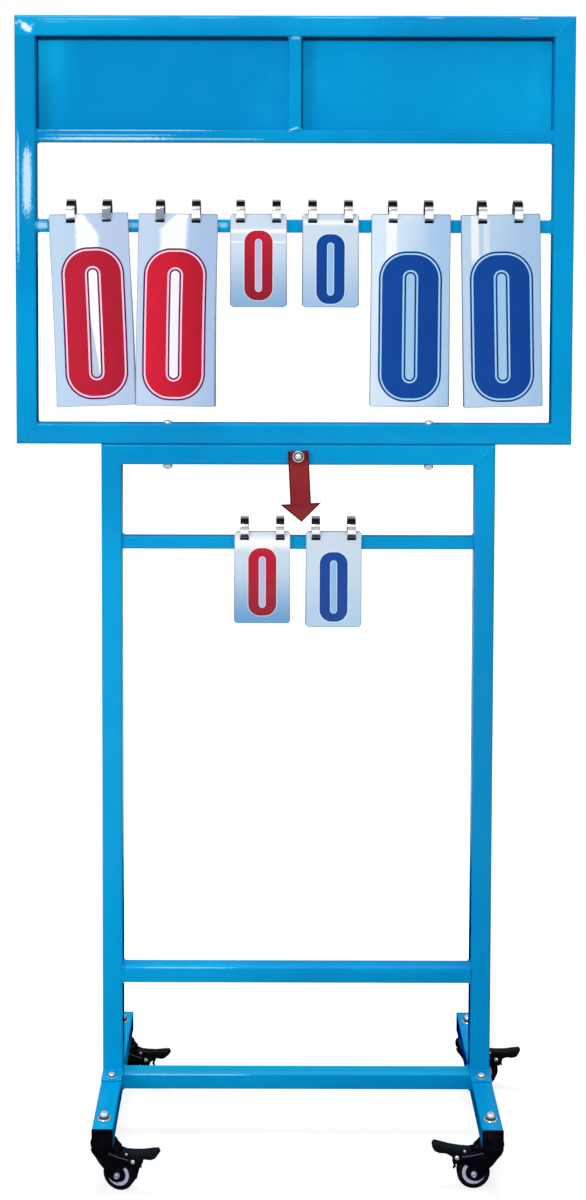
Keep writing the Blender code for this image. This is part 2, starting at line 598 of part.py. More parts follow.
def castor(corner, stem_x, stem_y):
    """A swivel castor with a brake pedal. The stem stays with the foot, and the rest turns about it."""
    yaw = math.radians(CASTOR_YAW_DEG[corner])
    at = (stem_x, stem_y, 0.0)
    turn = (0.0, 0.0, yaw)

    nut_base = FOOT_TOP + TOUCH
    washer_top = nut_base + STEM_WASHER_HEIGHT
    nut_top = washer_top + STEM_NUT_HEIGHT
    stem_profile = [
        (0.0, CASTOR_HEIGHT - STEM_DEPTH),
        (STEM_RADIUS, CASTOR_HEIGHT - STEM_DEPTH),
        (STEM_RADIUS, nut_base),
        (STEM_WASHER_RADIUS, nut_base),
        (STEM_WASHER_RADIUS, washer_top),
        (STEM_RADIUS, washer_top),
        (STEM_RADIUS, nut_top - TOUCH),
        *dome(STEM_NUT_RADIUS * 0.8, nut_top - TOUCH, STEM_DOME_HEIGHT),
    ]
    stem = make_object(f"castor_stem_{corner}", turned(stem_profile, SMALL_ROUND_STEPS), "zinc", at)
    nut = make_object(f"stem_nut_{corner}", rod(STEM_NUT_RADIUS, washer_top - TOUCH, nut_top, 6), at=at)
    combine(stem, nut, "UNION")

    swivel = bpy.data.objects.new(f"castor_swivel_{corner}", None)
    bpy.context.scene.collection.objects.link(swivel)
    swivel.location = at
    swivel.rotation_euler = turn

    fork_top = CASTOR_HEIGHT - TOUCH
    race_base = fork_top - RACE_HEIGHT
    pivot_x, pivot_z = PEDAL_PIVOT
    back = -RACE_RADIUS * 0.95
    cheek = [
        (back, race_base + CHEEK_THICKNESS / 2),
        (back, race_base - CHEEK_DROP),
        (TRAIL - CHEEK_BELOW_AXLE * 1.55, WHEEL_RADIUS - CHEEK_BELOW_AXLE * 0.45),
        (TRAIL - CHEEK_BELOW_AXLE * 0.65, WHEEL_RADIUS - CHEEK_BELOW_AXLE),
        (TRAIL + CHEEK_BELOW_AXLE * 0.45, WHEEL_RADIUS - CHEEK_BELOW_AXLE),
        (TRAIL + CHEEK_BELOW_AXLE * 1.2, WHEEL_RADIUS - CHEEK_BELOW_AXLE * 0.2),
        (pivot_x + PIN_MARGIN * 0.65, pivot_z - PIN_MARGIN * 2.15),
        (pivot_x + PIN_MARGIN * 1.15, pivot_z - PIN_MARGIN * 0.65),
        (pivot_x + PIN_MARGIN * 0.15, pivot_z + PIN_MARGIN),
        (RACE_RADIUS * 1.5, race_base - CHEEK_DROP / 2),
        (RACE_RADIUS * 0.95, race_base + CHEEK_THICKNESS / 2),
    ]
    fork = make_object(
        f"castor_fork_{corner}", extruded(cheek, 2 * CHEEK_OUTER), "black_plastic", parent=swivel
    )
    gap_low = (TRAIL - WHEEL_RADIUS - WHEEL_ROOM, -CHEEK_INNER, -CUT_PAST)
    gap_high = (pivot_x + 2 * PIN_MARGIN, CHEEK_INNER, race_base - CHEEK_THICKNESS * 0.75)
    gap = block(gap_low, gap_high)
    gap = make_object(f"wheel_gap_{corner}", gap, parent=swivel)
    combine(fork, gap, "DIFFERENCE")
    race_profile = [
        (0.0, race_base - CHEEK_THICKNESS / 2),
        (RACE_RADIUS, race_base - CHEEK_THICKNESS / 2),
        (RACE_RADIUS, fork_top - RACE_HEIGHT * 0.35),
        (RACE_RADIUS * 0.86, fork_top),
        (0.0, fork_top),
    ]
    race = make_object(f"castor_race_{corner}", turned(race_profile), parent=swivel)
    combine(fork, race, "UNION")
    bore_low = CASTOR_HEIGHT - STEM_DEPTH - CUT_PAST
    bore = rod(STEM_RADIUS + BORE_CLEARANCE, bore_low, CASTOR_HEIGHT + CUT_PAST, SMALL_ROUND_STEPS)
    bore = make_object(f"stem_bore_{corner}", bore, parent=swivel)
    combine(fork, bore, "DIFFERENCE")
    pins = (
        ("axle", AXLE_RADIUS, TRAIL, WHEEL_RADIUS),
        ("pedal_pin", PEDAL_PIN_RADIUS, *PEDAL_PIVOT),
    )
    for pin_name, radius, x, z in pins:
        pin = rod(radius, -CHEEK_OUTER, CHEEK_OUTER, SMALL_ROUND_STEPS)
        pin = make_object(f"{pin_name}_{corner}", pin, at=(x, 0.0, z), turn=ALONG, parent=swivel)
        combine(fork, pin, "UNION")

    half = WHEEL_WIDTH / 2
    bore_radius = AXLE_RADIUS + BORE_CLEARANCE
    dish_hub = WHEEL_HUB_RADIUS + WHEEL_DISH_SLOPE
    dish_rim = WHEEL_DISH_RADIUS - WHEEL_DISH_SLOPE
    wheel_profile = [
        (bore_radius, -half),
        (WHEEL_HUB_RADIUS, -half),
        (dish_hub, -half + WHEEL_DISH),
        (dish_rim, -half + WHEEL_DISH),
        (WHEEL_DISH_RADIUS, -half),
        (WHEEL_RADIUS - WHEEL_TREAD, -half),
        (WHEEL_RADIUS, -half + WHEEL_TREAD),
        (WHEEL_RADIUS, half - WHEEL_TREAD),
        (WHEEL_RADIUS - WHEEL_TREAD, half),
        (WHEEL_DISH_RADIUS, half),
        (dish_rim, half - WHEEL_DISH),
        (dish_hub, half - WHEEL_DISH),
        (WHEEL_HUB_RADIUS, half),
        (bore_radius, half),
    ]
    wheel = turned(wheel_profile, WHEEL_STEPS, closed=True)
    make_object(f"castor_wheel_{corner}", wheel, "tread_rubber", (TRAIL, 0.0, WHEEL_RADIUS), ALONG, swivel)

    pedal = extruded(PEDAL_OUTLINE, PEDAL_WIDTH)
    pivot = (pivot_x, 0.0, pivot_z)
    pedal = make_object(f"brake_pedal_{corner}", pedal, "black_plastic", pivot, parent=swivel)
    pedal_bore = rod(PEDAL_PIN_RADIUS + BORE_CLEARANCE, -CHEEK_OUTER, CHEEK_OUTER, SMALL_ROUND_STEPS)
    pedal_bore = make_object(f"pedal_bore_{corner}", pedal_bore, at=pivot, turn=ALONG, parent=swivel)
    combine(pedal, pedal_bore, "DIFFERENCE")


def castors():
    foot_x = (STAND_WIDTH - MAIN_TUBE) / 2
    stem_y = FOOT_LENGTH / 2 - CASTOR_INSET
    for end, end_name in ((-1, "front"), (1, "rear")):
        for side, side_name in ((-1, "left"), (1, "right")):
            castor(f"{end_name}_{side_name}", STAND_SHIFT + side * foot_x, end * stem_y)


clear_scene()
board_rail = board_frame()
stand_rail = stand_frame()
frame_bolts(board_rail, stand_rail)
card_sets()
arrow(stand_rail)
castors()
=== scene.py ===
"""Looks of the football scoreboard: enamelled steel tube, printed flip cards, chromed rings and castors."""

import json
import math
import random
from functools import partialmethod

import bmesh
import bpy
from mathutils import Matrix, Vector

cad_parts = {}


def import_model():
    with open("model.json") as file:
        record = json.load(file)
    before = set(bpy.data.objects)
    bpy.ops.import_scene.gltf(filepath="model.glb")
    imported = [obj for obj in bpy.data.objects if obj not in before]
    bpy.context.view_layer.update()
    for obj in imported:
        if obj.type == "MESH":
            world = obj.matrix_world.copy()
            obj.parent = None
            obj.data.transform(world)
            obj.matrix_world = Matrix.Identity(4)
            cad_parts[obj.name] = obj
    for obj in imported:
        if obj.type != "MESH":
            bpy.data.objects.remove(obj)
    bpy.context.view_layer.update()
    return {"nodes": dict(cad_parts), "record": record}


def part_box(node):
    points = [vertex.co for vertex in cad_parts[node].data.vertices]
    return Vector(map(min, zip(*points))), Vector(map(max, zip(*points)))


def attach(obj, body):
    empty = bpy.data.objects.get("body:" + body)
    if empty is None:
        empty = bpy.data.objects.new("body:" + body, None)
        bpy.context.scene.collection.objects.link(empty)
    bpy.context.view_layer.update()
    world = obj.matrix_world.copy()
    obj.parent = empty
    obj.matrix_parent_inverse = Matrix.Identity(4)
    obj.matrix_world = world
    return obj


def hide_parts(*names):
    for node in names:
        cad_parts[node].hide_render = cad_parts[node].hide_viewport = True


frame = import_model()

record = frame["record"]
joints = {joint["name"]: joint for joint in record["behaviour"]["joints"]}
chance = random.Random(7)

# Sizes that repeat the part's own, in metres
TUBE = 0.032
RAIL = 0.020
BRACE = 0.025
RING_SPACING = 0.056
RING_WIDTH = 0.013
CARD_TOP = 0.0017
CARD_SHEET = 0.0006
PACK_NEAR = 0.0103
PACK_FAR = 0.0143
BIG_CARD = (0.123, 0.300)
SMALL_CARD = (0.0875, 0.145)
SLOT_WIDTH = 0.0144
SLOT_TOP = 0.0098
SLOT_BASE = 0.0186
FRONT_SLOT_BASE = 0.0154
BASE_PLATE = 0.0024
ARROW_SHAFT = 0.0325
ARROW_HEAD = (0.064, 0.0288)
ARROW_RUN = (0.009, -0.103)
ARROW_LEAN = math.radians(-2.9)

# Measures of the looks alone
GAP = 0.0003
BIG_CORNER = 0.002
SMALL_CORNER = 0.005
PACK_SHEETS = 5
LEVEL = (0.0, 0.0)
SWAY_START = 0.04
SWAY_END = 0.31
RAIL_BEAD = 0.0018
MITRE_BEAD = 0.0017
MITRE_INSET = 0.0008
MITRE_FLATTEN = (1.0, 0.75, 1.0)
ENAMEL_IOR = 1.20
METAL_IOR = 1.5
ENAMEL_PEEL = (0.0006, 0.35)


def colour(red, green, blue):
    """A screen colour, 0 to 255, as the linear colour that a shader takes."""
    parts = [level / 255 for level in (red, green, blue)]
    linear = [p / 12.92 if p <= 0.04045 else ((p + 0.055) / 1.055) ** 2.4 for p in parts]
    return (*linear, 1.0)


ENAMEL_DEEP = colour(0, 138, 198)
ENAMEL_LIGHT = colour(0, 158, 218)
# Painted highlight colours; the thin one also colours the pale rubs
PAINTED_GLINT_WHITE = colour(222, 242, 255)
PAINTED_THIN_GLINT_AND_RUB = colour(110, 212, 244)
RECESS_SHADE = colour(0, 58, 80)
# Paler blue for painted light
PAINTED_LIGHT_BLUE = colour(0, 190, 240)
ENAMEL_RED = colour(156, 50, 52)
ENAMEL_RED_DEEP = colour(126, 34, 38)
# Painted shade on the arrow's edges
RED_PAINTED_SHADE = colour(62, 16, 24)
# White of the painted card highlights, and of the faint keyline round the small digits
CARD_PAINTED_HIGHLIGHT_AND_KEYLINE = colour(250, 252, 252)
RED_INK = colour(192, 33, 58)
BRIGHT_RED_INK = colour(212, 31, 57)
RED_LINE = colour(108, 22, 78)
RED_KEYLINE = colour(246, 204, 230)
BLUE_INK = colour(14, 70, 156)
BLUE_LINE = colour(0, 58, 128)
BLUE_KEYLINE = colour(158, 208, 240)
BLACK_PLASTIC = colour(3, 3, 11)
PEDAL_PLASTIC = colour(13, 17, 20)
TREAD_BLACK = colour(5, 5, 13)
RING_GREY = colour(172, 180, 204)


# Shader building
class Graph:
    """A node tree with short calls for the nodes that the finishes use."""

    def __init__(self, tree):
        self.tree = tree

    def add(self, kind, feeds=None, **settings):
        """A new node with these settings; feeds names its inputs and gives what goes into them."""
        node = self.tree.nodes.new(kind)
        for name, value in settings.items():
            setattr(node, name, value)
        for name, value in (feeds or {}).items():
            self.feed(node.inputs[name], value)
        return node

    def feed(self, socket, value):
        if isinstance(value, bpy.types.NodeSocket):
            self.tree.links.new(value, socket)
        elif value is not None:
            socket.default_value = value

    def math(self, operation, first, second=None, clamp=False):
        feeds = {0: first, 1: second}
        return self.add("ShaderNodeMath", feeds, operation=operation, use_clamp=clamp).outputs[0]

    plus = partialmethod(math, "ADD")
    minus = partialmethod(math, "SUBTRACT")
    times = partialmethod(math, "MULTIPLY")
    over = partialmethod(math, "DIVIDE")
    most = partialmethod(math, "MAXIMUM")
    least = partialmethod(math, "MINIMUM")
    unsigned = partialmethod(math, "ABSOLUTE")

    def vector(self, operation, first, second=None):
        node = self.add("ShaderNodeVectorMath", {0: first, 1: second}, operation=operation)
        return node.outputs["Value" if operation in ("LENGTH", "DOT_PRODUCT") else "Vector"]

    def mix(self, share, low, high, blend="MIX"):
        feeds = {0: share, 6: low, 7: high}
        return self.add("ShaderNodeMix", feeds, data_type="RGBA", blend_type=blend).outputs[2]

    def noise(self, place, scale, detail=3.0, roughness=0.5):
        feeds = {"Vector": place, "Scale": scale, "Detail": detail, "Roughness": roughness}
        return self.add("ShaderNodeTexNoise", feeds).outputs["Fac"]

    def band(self, value, low, high, start=0.0, end=1.0, smooth=True):
        """From start to end while the value goes from low to high, and level outside them."""
        feeds = {"Value": value, "From Min": low, "From Max": high, "To Min": start, "To Max": end}
        style = "SMOOTHSTEP" if smooth else "LINEAR"
        return self.add("ShaderNodeMapRange", feeds, interpolation_type=style).outputs["Result"]

    def window(self, value, opening, closing):
        """1 between two soft ends, each the value at its outer and inner side."""
        return self.times(self.band(value, *opening), self.band(value, *closing))

    def attribute(self, name):
        return self.add("ShaderNodeAttribute", attribute_name=name).outputs["Vector"]

    def split(self, place):
        return self.add("ShaderNodeSeparateXYZ", {0: place}).outputs

    def join(self, x=0.0, y=0.0, z=0.0):
        return self.add("ShaderNodeCombineXYZ", {0: x, 1: y, 2: z}).outputs[0]

    def stretch(self, place, scale):
        return self.add("ShaderNodeMapping", {"Vector": place, "Scale": scale}).outputs[0]

    def swing(self, place, centre, angle):
        """The place turned about an axis along y."""
        feeds = {"Vector": place, "Center": centre, "Angle": angle}
        return self.add("ShaderNodeVectorRotate", feeds, rotation_type="Y_AXIS").outputs[0]

    def group(self, group, **values):
        feeds = {name.replace("_", " "): value for name, value in values.items()}
        return self.add("ShaderNodeGroup", feeds, node_tree=group).outputs


def new_group(name, inputs, outputs):
    """A shader node group, its graph, the sockets it reads and the node it writes."""
    group = bpy.data.node_groups.new(name, "ShaderNodeTree")
    for socket_name, kind, value in inputs:
        socket = group.interface.new_socket(name=socket_name, in_out="INPUT", socket_type=kind)
        if value is not None:
            socket.default_value = value
    for socket_name, kind in outputs:
        group.interface.new_socket(name=socket_name, in_out="OUTPUT", socket_type=kind)
    graph = Graph(group)
    source = graph.add("NodeGroupInput").outputs
    result = graph.add("NodeGroupOutput").inputs
    return group, graph, source, result


def new_finish(name):
    material = bpy.data.materials.new(name)
    material.use_nodes = True
    graph = Graph(material.node_tree)
    shader = material.node_tree.nodes["Principled BSDF"]
    return material, graph, shader


def object_place(graph):
    return graph.add("ShaderNodeTexCoord").outputs["Object"]


def surface(graph, shader, tint, roughness, height, distance, strength, ior=ENAMEL_IOR):
    """Feeds the shader's colour and roughness, and a bump of this height."""
    bump = graph.add("ShaderNodeBump", {"Strength": strength, "Distance": distance, "Height": height})
    graph.feed(shader.inputs["Base Color"], tint)
    graph.feed(shader.inputs["Roughness"], roughness)
    graph.feed(shader.inputs["Normal"], bump.outputs["Normal"])
    shader.inputs["IOR"].default_value = ior


VECTOR = "NodeSocketVector"
FLOAT = "NodeSocketFloat"
COLOUR = "NodeSocketColor"


def enamel_group():
    """Sprayed enamel: slow colour drift, painted shade that varies with height and side, orange peel, fine
    specks and a few pale rubs along the tubes.
    """
    group, graph, source, result = new_group(
        "sprayed_enamel",
        (
            ("Place", VECTOR, None),
            ("Deep", COLOUR, ENAMEL_DEEP),
            ("Light", COLOUR, ENAMEL_LIGHT),
            ("Rub", COLOUR, PAINTED_THIN_GLINT_AND_RUB),
            ("Rub Amount", FLOAT, 0.5),
        ),
        (("Colour", COLOUR), ("Roughness", FLOAT), ("Height", FLOAT)),
    )
    place = source["Place"]
    drift = graph.noise(place, 2.6, 1.0)
    blotch = graph.noise(place, 30.0, 2.0, 0.5)
    across, _, up = graph.split(place)
    # Painted shade: darker toward the upper left, and below about 1 m lighter on the left and darker on the
    # right
    high = graph.times(graph.least(across, 0.0), graph.band(up, 1.2, 1.6, 0.0, 0.70))
    low = graph.times(across, graph.band(up, 1.1, 0.9, 0.0, -0.75))
    share = graph.plus(graph.plus(drift, graph.times(blotch, 0.12)), graph.plus(high, low))
    share = graph.band(share, 0.38, 0.78)
    base = graph.mix(share, source["Deep"], source["Light"])
    along_x = graph.noise(graph.stretch(place, (9.0, 60.0, 160.0)), 1.0, 3.0, 0.6)
    along_z = graph.noise(graph.stretch(place, (160.0, 60.0, 9.0)), 1.0, 3.0, 0.6)
    patch = graph.noise(place, 4.3, 1.0)
    streak = graph.most(graph.band(along_x, 0.60, 0.80), graph.band(along_z, 0.60, 0.80))
    rub = graph.times(streak, graph.band(patch, 0.56, 0.70))
    rub = graph.times(rub, source["Rub Amount"], clamp=True)
    graph.feed(result["Colour"], graph.mix(rub, base, source["Rub"]))
    peel = graph.noise(place, 420.0, 2.0, 0.5)
    wave = graph.noise(place, 55.0, 2.0, 0.5)
    graph.feed(result["Roughness"], graph.band(blotch, 0.3, 0.7, 0.14, 0.26))
    graph.feed(result["Height"], graph.plus(graph.times(peel, 0.25), wave))
    return group


def painted_glint_group():
    """A ragged patch of painted highlight, slanted in the plane of the frame's front."""
    group, graph, source, result = new_group(
        "painted_glint",
        (
            ("Place", VECTOR, None),
            ("Centre", VECTOR, None),
            ("Half Length", FLOAT, 0.01),
            ("Half Width", FLOAT, 0.01),
            ("Slant", FLOAT, 0.0),
        ),
        (("Mask", FLOAT),),
    )
    turned = graph.swing(source["Place"], source["Centre"], source["Slant"])
    across, _, up = graph.split(graph.vector("SUBTRACT", turned, source["Centre"]))
    along = graph.over(across, source["Half Length"])
    beside = graph.over(up, source["Half Width"])
    reach = graph.vector("LENGTH", graph.join(graph.times(along, graph.unsigned(along)), 0.0, beside))
    streaks = graph.noise(graph.join(graph.times(along, 2.2), 0.0, graph.times(beside, 2.6)), 1.6, 4.0, 0.6)
    chips = graph.noise(graph.stretch(turned, (170.0, 0.0, 420.0)), 1.0, 3.0, 0.6)
    ragged = graph.times(graph.minus(streaks, 0.5), 1.2)
    ragged = graph.plus(ragged, graph.times(graph.minus(chips, 0.5), 1.3))
    ragged = graph.times(ragged, graph.band(graph.unsigned(along), 0.0, 1.0, 0.5, 1.1))
    graph.feed(result["Mask"], graph.band(graph.plus(reach, ragged), 1.05, 0.40))
    return group


def rounded_bar_group():
    """Signed distance, in metres, from the edge of a bar with rounded ends in the plane of a card."""
    group, graph, source, result = new_group(
        "rounded_bar",
        (
            ("Place", VECTOR, None),
            ("Half Width", FLOAT, 0.0),
            ("Half Height", FLOAT, 0.0),
            ("Corner", FLOAT, 0.0),
        ),
        (("Distance", FLOAT),),
    )
    across, _, up = graph.split(source["Place"])
    beyond = []
    for value, half in ((across, source["Half Width"]), (up, source["Half Height"])):
        flat = graph.minus(half, source["Corner"])
        beyond.append(graph.minus(graph.unsigned(value), flat))
    outside = graph.join(graph.most(beyond[0], 0.0), graph.most(beyond[1], 0.0))
    reach = graph.vector("LENGTH", outside)
    inside = graph.least(graph.most(beyond[0], beyond[1]), 0.0)
    total = graph.plus(reach, inside)
    graph.feed(result["Distance"], graph.minus(total, source["Corner"]))
    return group


sprayed_enamel = enamel_group()
painted_glint = painted_glint_group()
rounded_bar = rounded_bar_group()
PRINT_SOFTNESS = 0.00022


# Painted highlights on the frame's front: x and z of the middle, half length, half width, slant, strength
PAINTED_GLINTS = (
    (-0.4150, 1.7570, 0.0105, 0.0068, -38.0, 1.0),
    (-0.4235, 1.7655, 0.0060, 0.0034, -30.0, 0.60),
    (-0.4300, 1.7640, 0.0030, 0.0028, 0.0, 0.50),
    (-0.4060, 1.7610, 0.0045, 0.0018, 25.0, 0.40),
    (-0.3200, 1.7700, 0.0850, 0.0008, 0.0, 0.45),
    (-0.3700, 1.7660, 0.0200, 0.0006, 0.0, 0.40),
    (-0.1300, 1.7725, 0.0500, 0.0007, 0.0, 0.40),
    (0.0650, 1.7730, 0.0750, 0.0008, 0.0, 0.50),
    (0.2150, 1.7730, 0.0180, 0.0008, 0.0, 0.60),
    (0.3600, 1.7725, 0.0160, 0.0009, 0.0, 0.60),
    (-0.4152, 1.5200, 0.0600, 0.0090, 90.0, 0.80),
    (-0.4292, 1.4950, 0.1150, 0.0024, 90.0, 0.62),
    (-0.2860, 1.5866, 0.1150, 0.0029, 0.0, 0.75),
    (-0.1500, 1.5864, 0.1150, 0.0018, 0.0, 0.50),
    (-0.2850, 1.5922, 0.1100, 0.0014, 0.0, 0.45),
    (-0.2540, 1.5995, 0.1450, 0.0010, 0.0, 0.60),
    (-0.3935, 1.4521, 0.0110, 0.0074, 0.0, 0.62),
    (-0.2529, 1.4525, 0.0140, 0.0055, 0.0, 0.45),
    (-0.1129, 1.4529, 0.0110, 0.0055, 0.0, 0.50),
    (-0.0024, 1.6022, 0.0090, 0.0020, 22.0, 0.62),
    (0.0010, 1.7430, 0.0080, 0.0030, 0.0, 0.55),
    (-0.1700, 0.2730, 0.0850, 0.0008, 0.0, 0.45),
    (-0.1650, 0.0985, 0.1100, 0.0010, 0.0, 0.55),
)


def enamel_finish(name, deep, light, rub_amount, painted_glints):
    material, graph, shader = new_finish(name)
    place = object_place(graph)
    coat = graph.group(sprayed_enamel, Place=place, Deep=deep, Light=light, Rub_Amount=rub_amount)
    # Painted highlights: pale patches on the frame's front faces
    painted_shine = 0.0
    for x, z, half_length, half_width, slant, strength in painted_glints:
        mask = graph.group(
            painted_glint,
            Place=place,
            Centre=(x, 0.0, z),
            Half_Length=half_length,
            Half_Width=half_width,
            Slant=math.radians(slant),
        )["Mask"]
        painted_shine = graph.most(graph.times(mask, strength), painted_shine)
    across, depth, up = graph.split(place)
    # Painted light: the top rail paler toward the left, and a paler line along the foot brace's top edge
    painted_top_light = graph.times(graph.band(up, 1.743, 1.748), graph.band(across, -0.12, -0.38, 0.0, 0.30))
    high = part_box("foot_brace")[1]
    ledge = graph.window(up, (high.z - 0.0014, high.z - 0.0004), (high.z + 0.002, high.z + 0.001))
    ledge = graph.times(ledge, graph.band(graph.unsigned(across), high.x, high.x - 0.001, 0.0, 0.6))
    base = graph.mix(graph.most(painted_top_light, ledge), coat["Colour"], PAINTED_LIGHT_BLUE)
    front = graph.band(depth, -0.0085, -0.0092)
    base = graph.mix(graph.times(painted_shine, front), base, graph.mix(painted_shine, PAINTED_THIN_GLINT_AND_RUB, PAINTED_GLINT_WHITE))
    surface(graph, shader, base, coat["Roughness"], coat["Height"], *ENAMEL_PEEL)
    return material


def recess_finish():
    """Enamel of the recessed header sheet, with painted shadow under the top rail and right of the post and
    the mullion, and painted light near the left post's top and toward the right.
    """
    material, graph, shader = new_finish("recess_painted_shade")
    place = object_place(graph)
    coat = graph.group(sprayed_enamel, Place=place, Deep=ENAMEL_DEEP, Light=ENAMEL_LIGHT, Rub_Amount=0.05)
    across, _, up = graph.split(place)
    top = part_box("board_top_rail")[0].z
    # Painted shadow under the top rail and right of the left post and the mullion
    shade = graph.band(up, top - 0.0062, top - 0.0034, 0.0, 0.85)
    for node in ("board_left_post", "header_mullion"):
        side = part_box(node)[1].x
        beside = graph.window(across, (side + 0.0040, side + 0.0014), (side - 0.02, side - 0.01))
        shade = graph.most(shade, graph.times(beside, 0.6))
    # Painted light: paler beside the left post toward the top, and paler toward the right end
    left = graph.times(graph.band(across, -0.335, -0.395, 0.0, 0.75), graph.band(up, 1.62, 1.74, 0.15, 1.0))
    right = graph.plus(graph.band(across, 0.08, 0.32, 0.0, 0.28), graph.band(across, 0.35, 0.40, 0.0, 0.18))
    right = graph.times(right, graph.band(up, 1.73, 1.65, 0.6, 1.0))
    lit = graph.mix(graph.most(left, right), coat["Colour"], PAINTED_LIGHT_BLUE)
    base = graph.mix(shade, lit, RECESS_SHADE)
    surface(graph, shader, base, coat["Roughness"], coat["Height"], *ENAMEL_PEEL)
    return material


def metal_finish(name, tint, low, high, grain=500.0):
    """Plated metal with a fine grain and faint finger marks."""
    material, graph, shader = new_finish(name)
    place = object_place(graph)
    smudge = graph.noise(place, 140.0, 3.0, 0.6)
    dull = tuple(part * 0.86 for part in tint[:3])
    base = graph.mix(graph.band(smudge, 0.35, 0.7), tint, (*dull, 1.0))
    shader.inputs["Metallic"].default_value = 0.6
    brushed = graph.noise(graph.stretch(place, (1.0, 6.0, 6.0)), grain, 2.0)
    surface(graph, shader, base, graph.band(smudge, 0.3, 0.75, low, high), brushed, 0.0001, 0.12, METAL_IOR)
    return material


def ring_finish():
    """Chrome strip with painted reflections and shade: a painted dark reflection over the top, painted shade
    inside and in the slots, a painted grey reflection line, a milky painted reflection below it, a bluish
    painted reflection lower down, and a dull grey middle on some rings.
    """
    material, graph, shader = new_finish("ring_chrome")
    dull, depth, up = graph.split(graph.attribute("ring_place"))
    smudge = graph.noise(object_place(graph), 190.0, 3.0, 0.6)
    # Painted reflection of a dark ceiling over the top; painted shadow in the slots and inside the strip
    painted_dark_reflection = graph.window(up, (0.0092, 0.0106), (0.0206, 0.0170))
    painted_slot_shadow = graph.window(up, (-0.0098, -0.0120), (-0.0192, -0.0182))
    inside = graph.band(graph.vector("LENGTH", graph.join(0.0, depth, up)), 0.0197, 0.0193)
    dark = graph.times(graph.most(painted_dark_reflection, painted_slot_shadow), graph.band(depth, 0.002, -0.002))
    dark = graph.most(dark, graph.times(inside, 0.9))
    # Painted reflections: a grey line, a milky band and a bluish lower part; the grey middle of the dull
    # rings is their own finish
    line = graph.window(up, (0.0034, 0.0044), (0.0072, 0.0062))
    painted_milky_reflection = graph.window(up, (-0.0040, -0.0030), (0.0026, 0.0018))
    low = graph.times(graph.band(up, -0.0040, -0.0090), 0.8)
    grey = graph.times(graph.window(up, (0.0078, 0.0066), (-0.0085, -0.0078)), dull)
    grey = graph.most(grey, graph.times(line, 0.85))
    tint = graph.mix(low, (0.93, 0.935, 0.945, 1.0), (0.55, 0.62, 0.72, 1.0))
    tint = graph.mix(graph.times(grey, 0.92), tint, (0.19, 0.22, 0.28, 1.0))
    tint = graph.mix(dark, tint, (0.004, 0.007, 0.014, 1.0))
    graph.feed(shader.inputs["Metallic"], graph.minus(1.0, graph.most(graph.most(dark, painted_milky_reflection), grey)))
    surface(graph, shader, tint, graph.band(smudge, 0.3, 0.75, 0.05, 0.12), smudge, 0.0002, 0.15, 1.25)
    return material


def arrow_finish():
    """Red enamel with painted shade toward the plate's cut edges, round its screw and at its top corners."""
    material, graph, shader = new_finish("red_enamel")
    place = object_place(graph)
    coat = graph.group(sprayed_enamel, Place=place, Deep=ENAMEL_RED_DEEP, Light=ENAMEL_RED, Rub_Amount=0.05)
    pivot = joints["arrow_pivot"]["pos_m"]
    straight = graph.swing(place, pivot, -ARROW_LEAN)
    across, _, up = graph.split(graph.vector("SUBTRACT", straight, pivot))
    spot = graph.join(across, 0.0, up)
    across = graph.unsigned(across)
    top, tip = ARROW_RUN
    half, head = ARROW_HEAD[0] / 2, ARROW_HEAD[1]
    slant = math.hypot(half, head)
    shaft = graph.most(graph.minus(across, ARROW_SHAFT / 2), graph.minus(up, top))
    shaft = graph.most(shaft, graph.minus(tip + head - 0.004, up))
    rise = graph.times(graph.minus(up, tip), half / slant)
    barb = graph.minus(graph.times(across, head / slant), rise)
    barb = graph.most(barb, graph.minus(up, tip + head))
    # Painted shade along the cut edges, round the screw and at the top corners
    rim = graph.band(graph.least(shaft, barb), -0.0030, -0.0010, 0.0, 0.9)
    seat = graph.band(graph.vector("LENGTH", spot), 0.0190, 0.0085, 0.0, 0.55)
    corner = graph.times(graph.band(across, 0.0085, 0.0125), graph.band(up, -0.0120, -0.0030, 0.0, 0.85))
    base = graph.mix(graph.most(graph.most(rim, seat), corner), coat["Colour"], RED_PAINTED_SHADE)
    surface(graph, shader, base, coat["Roughness"], coat["Height"], *ENAMEL_PEEL)
    return material


def plastic_finish(name, tint, low, high, texture):
    """Moulded plastic with a fine spark-eroded texture, cloudy patches of dust and dull wear."""
    material, graph, shader = new_finish(name)
    place = object_place(graph)
    cloud = graph.noise(place, 60.0, 3.0, 0.6)
    dusty = tuple(min(1.0, part + 0.006) for part in tint[:3])
    base = graph.mix(graph.band(cloud, 0.5, 0.8), tint, (*dusty, 1.0))
    worn = graph.band(cloud, 0.3, 0.75, low, high)
    surface(graph, shader, base, worn, graph.noise(place, texture, 2.0), 0.0002, 0.3)
    return material


def ink_mask(graph, distance, edge=0.0):
    """1 where the distance is below an edge, with a soft rim."""
    return graph.band(distance, edge - PRINT_SOFTNESS, edge + PRINT_SOFTNESS, 1.0, 0.0)


def stroke_mask(graph, distance, near, far):
    """1 on a line that runs at these distances beside a printed edge."""
    return graph.times(ink_mask(graph, distance, far), graph.minus(1.0, ink_mask(graph, distance, near)))


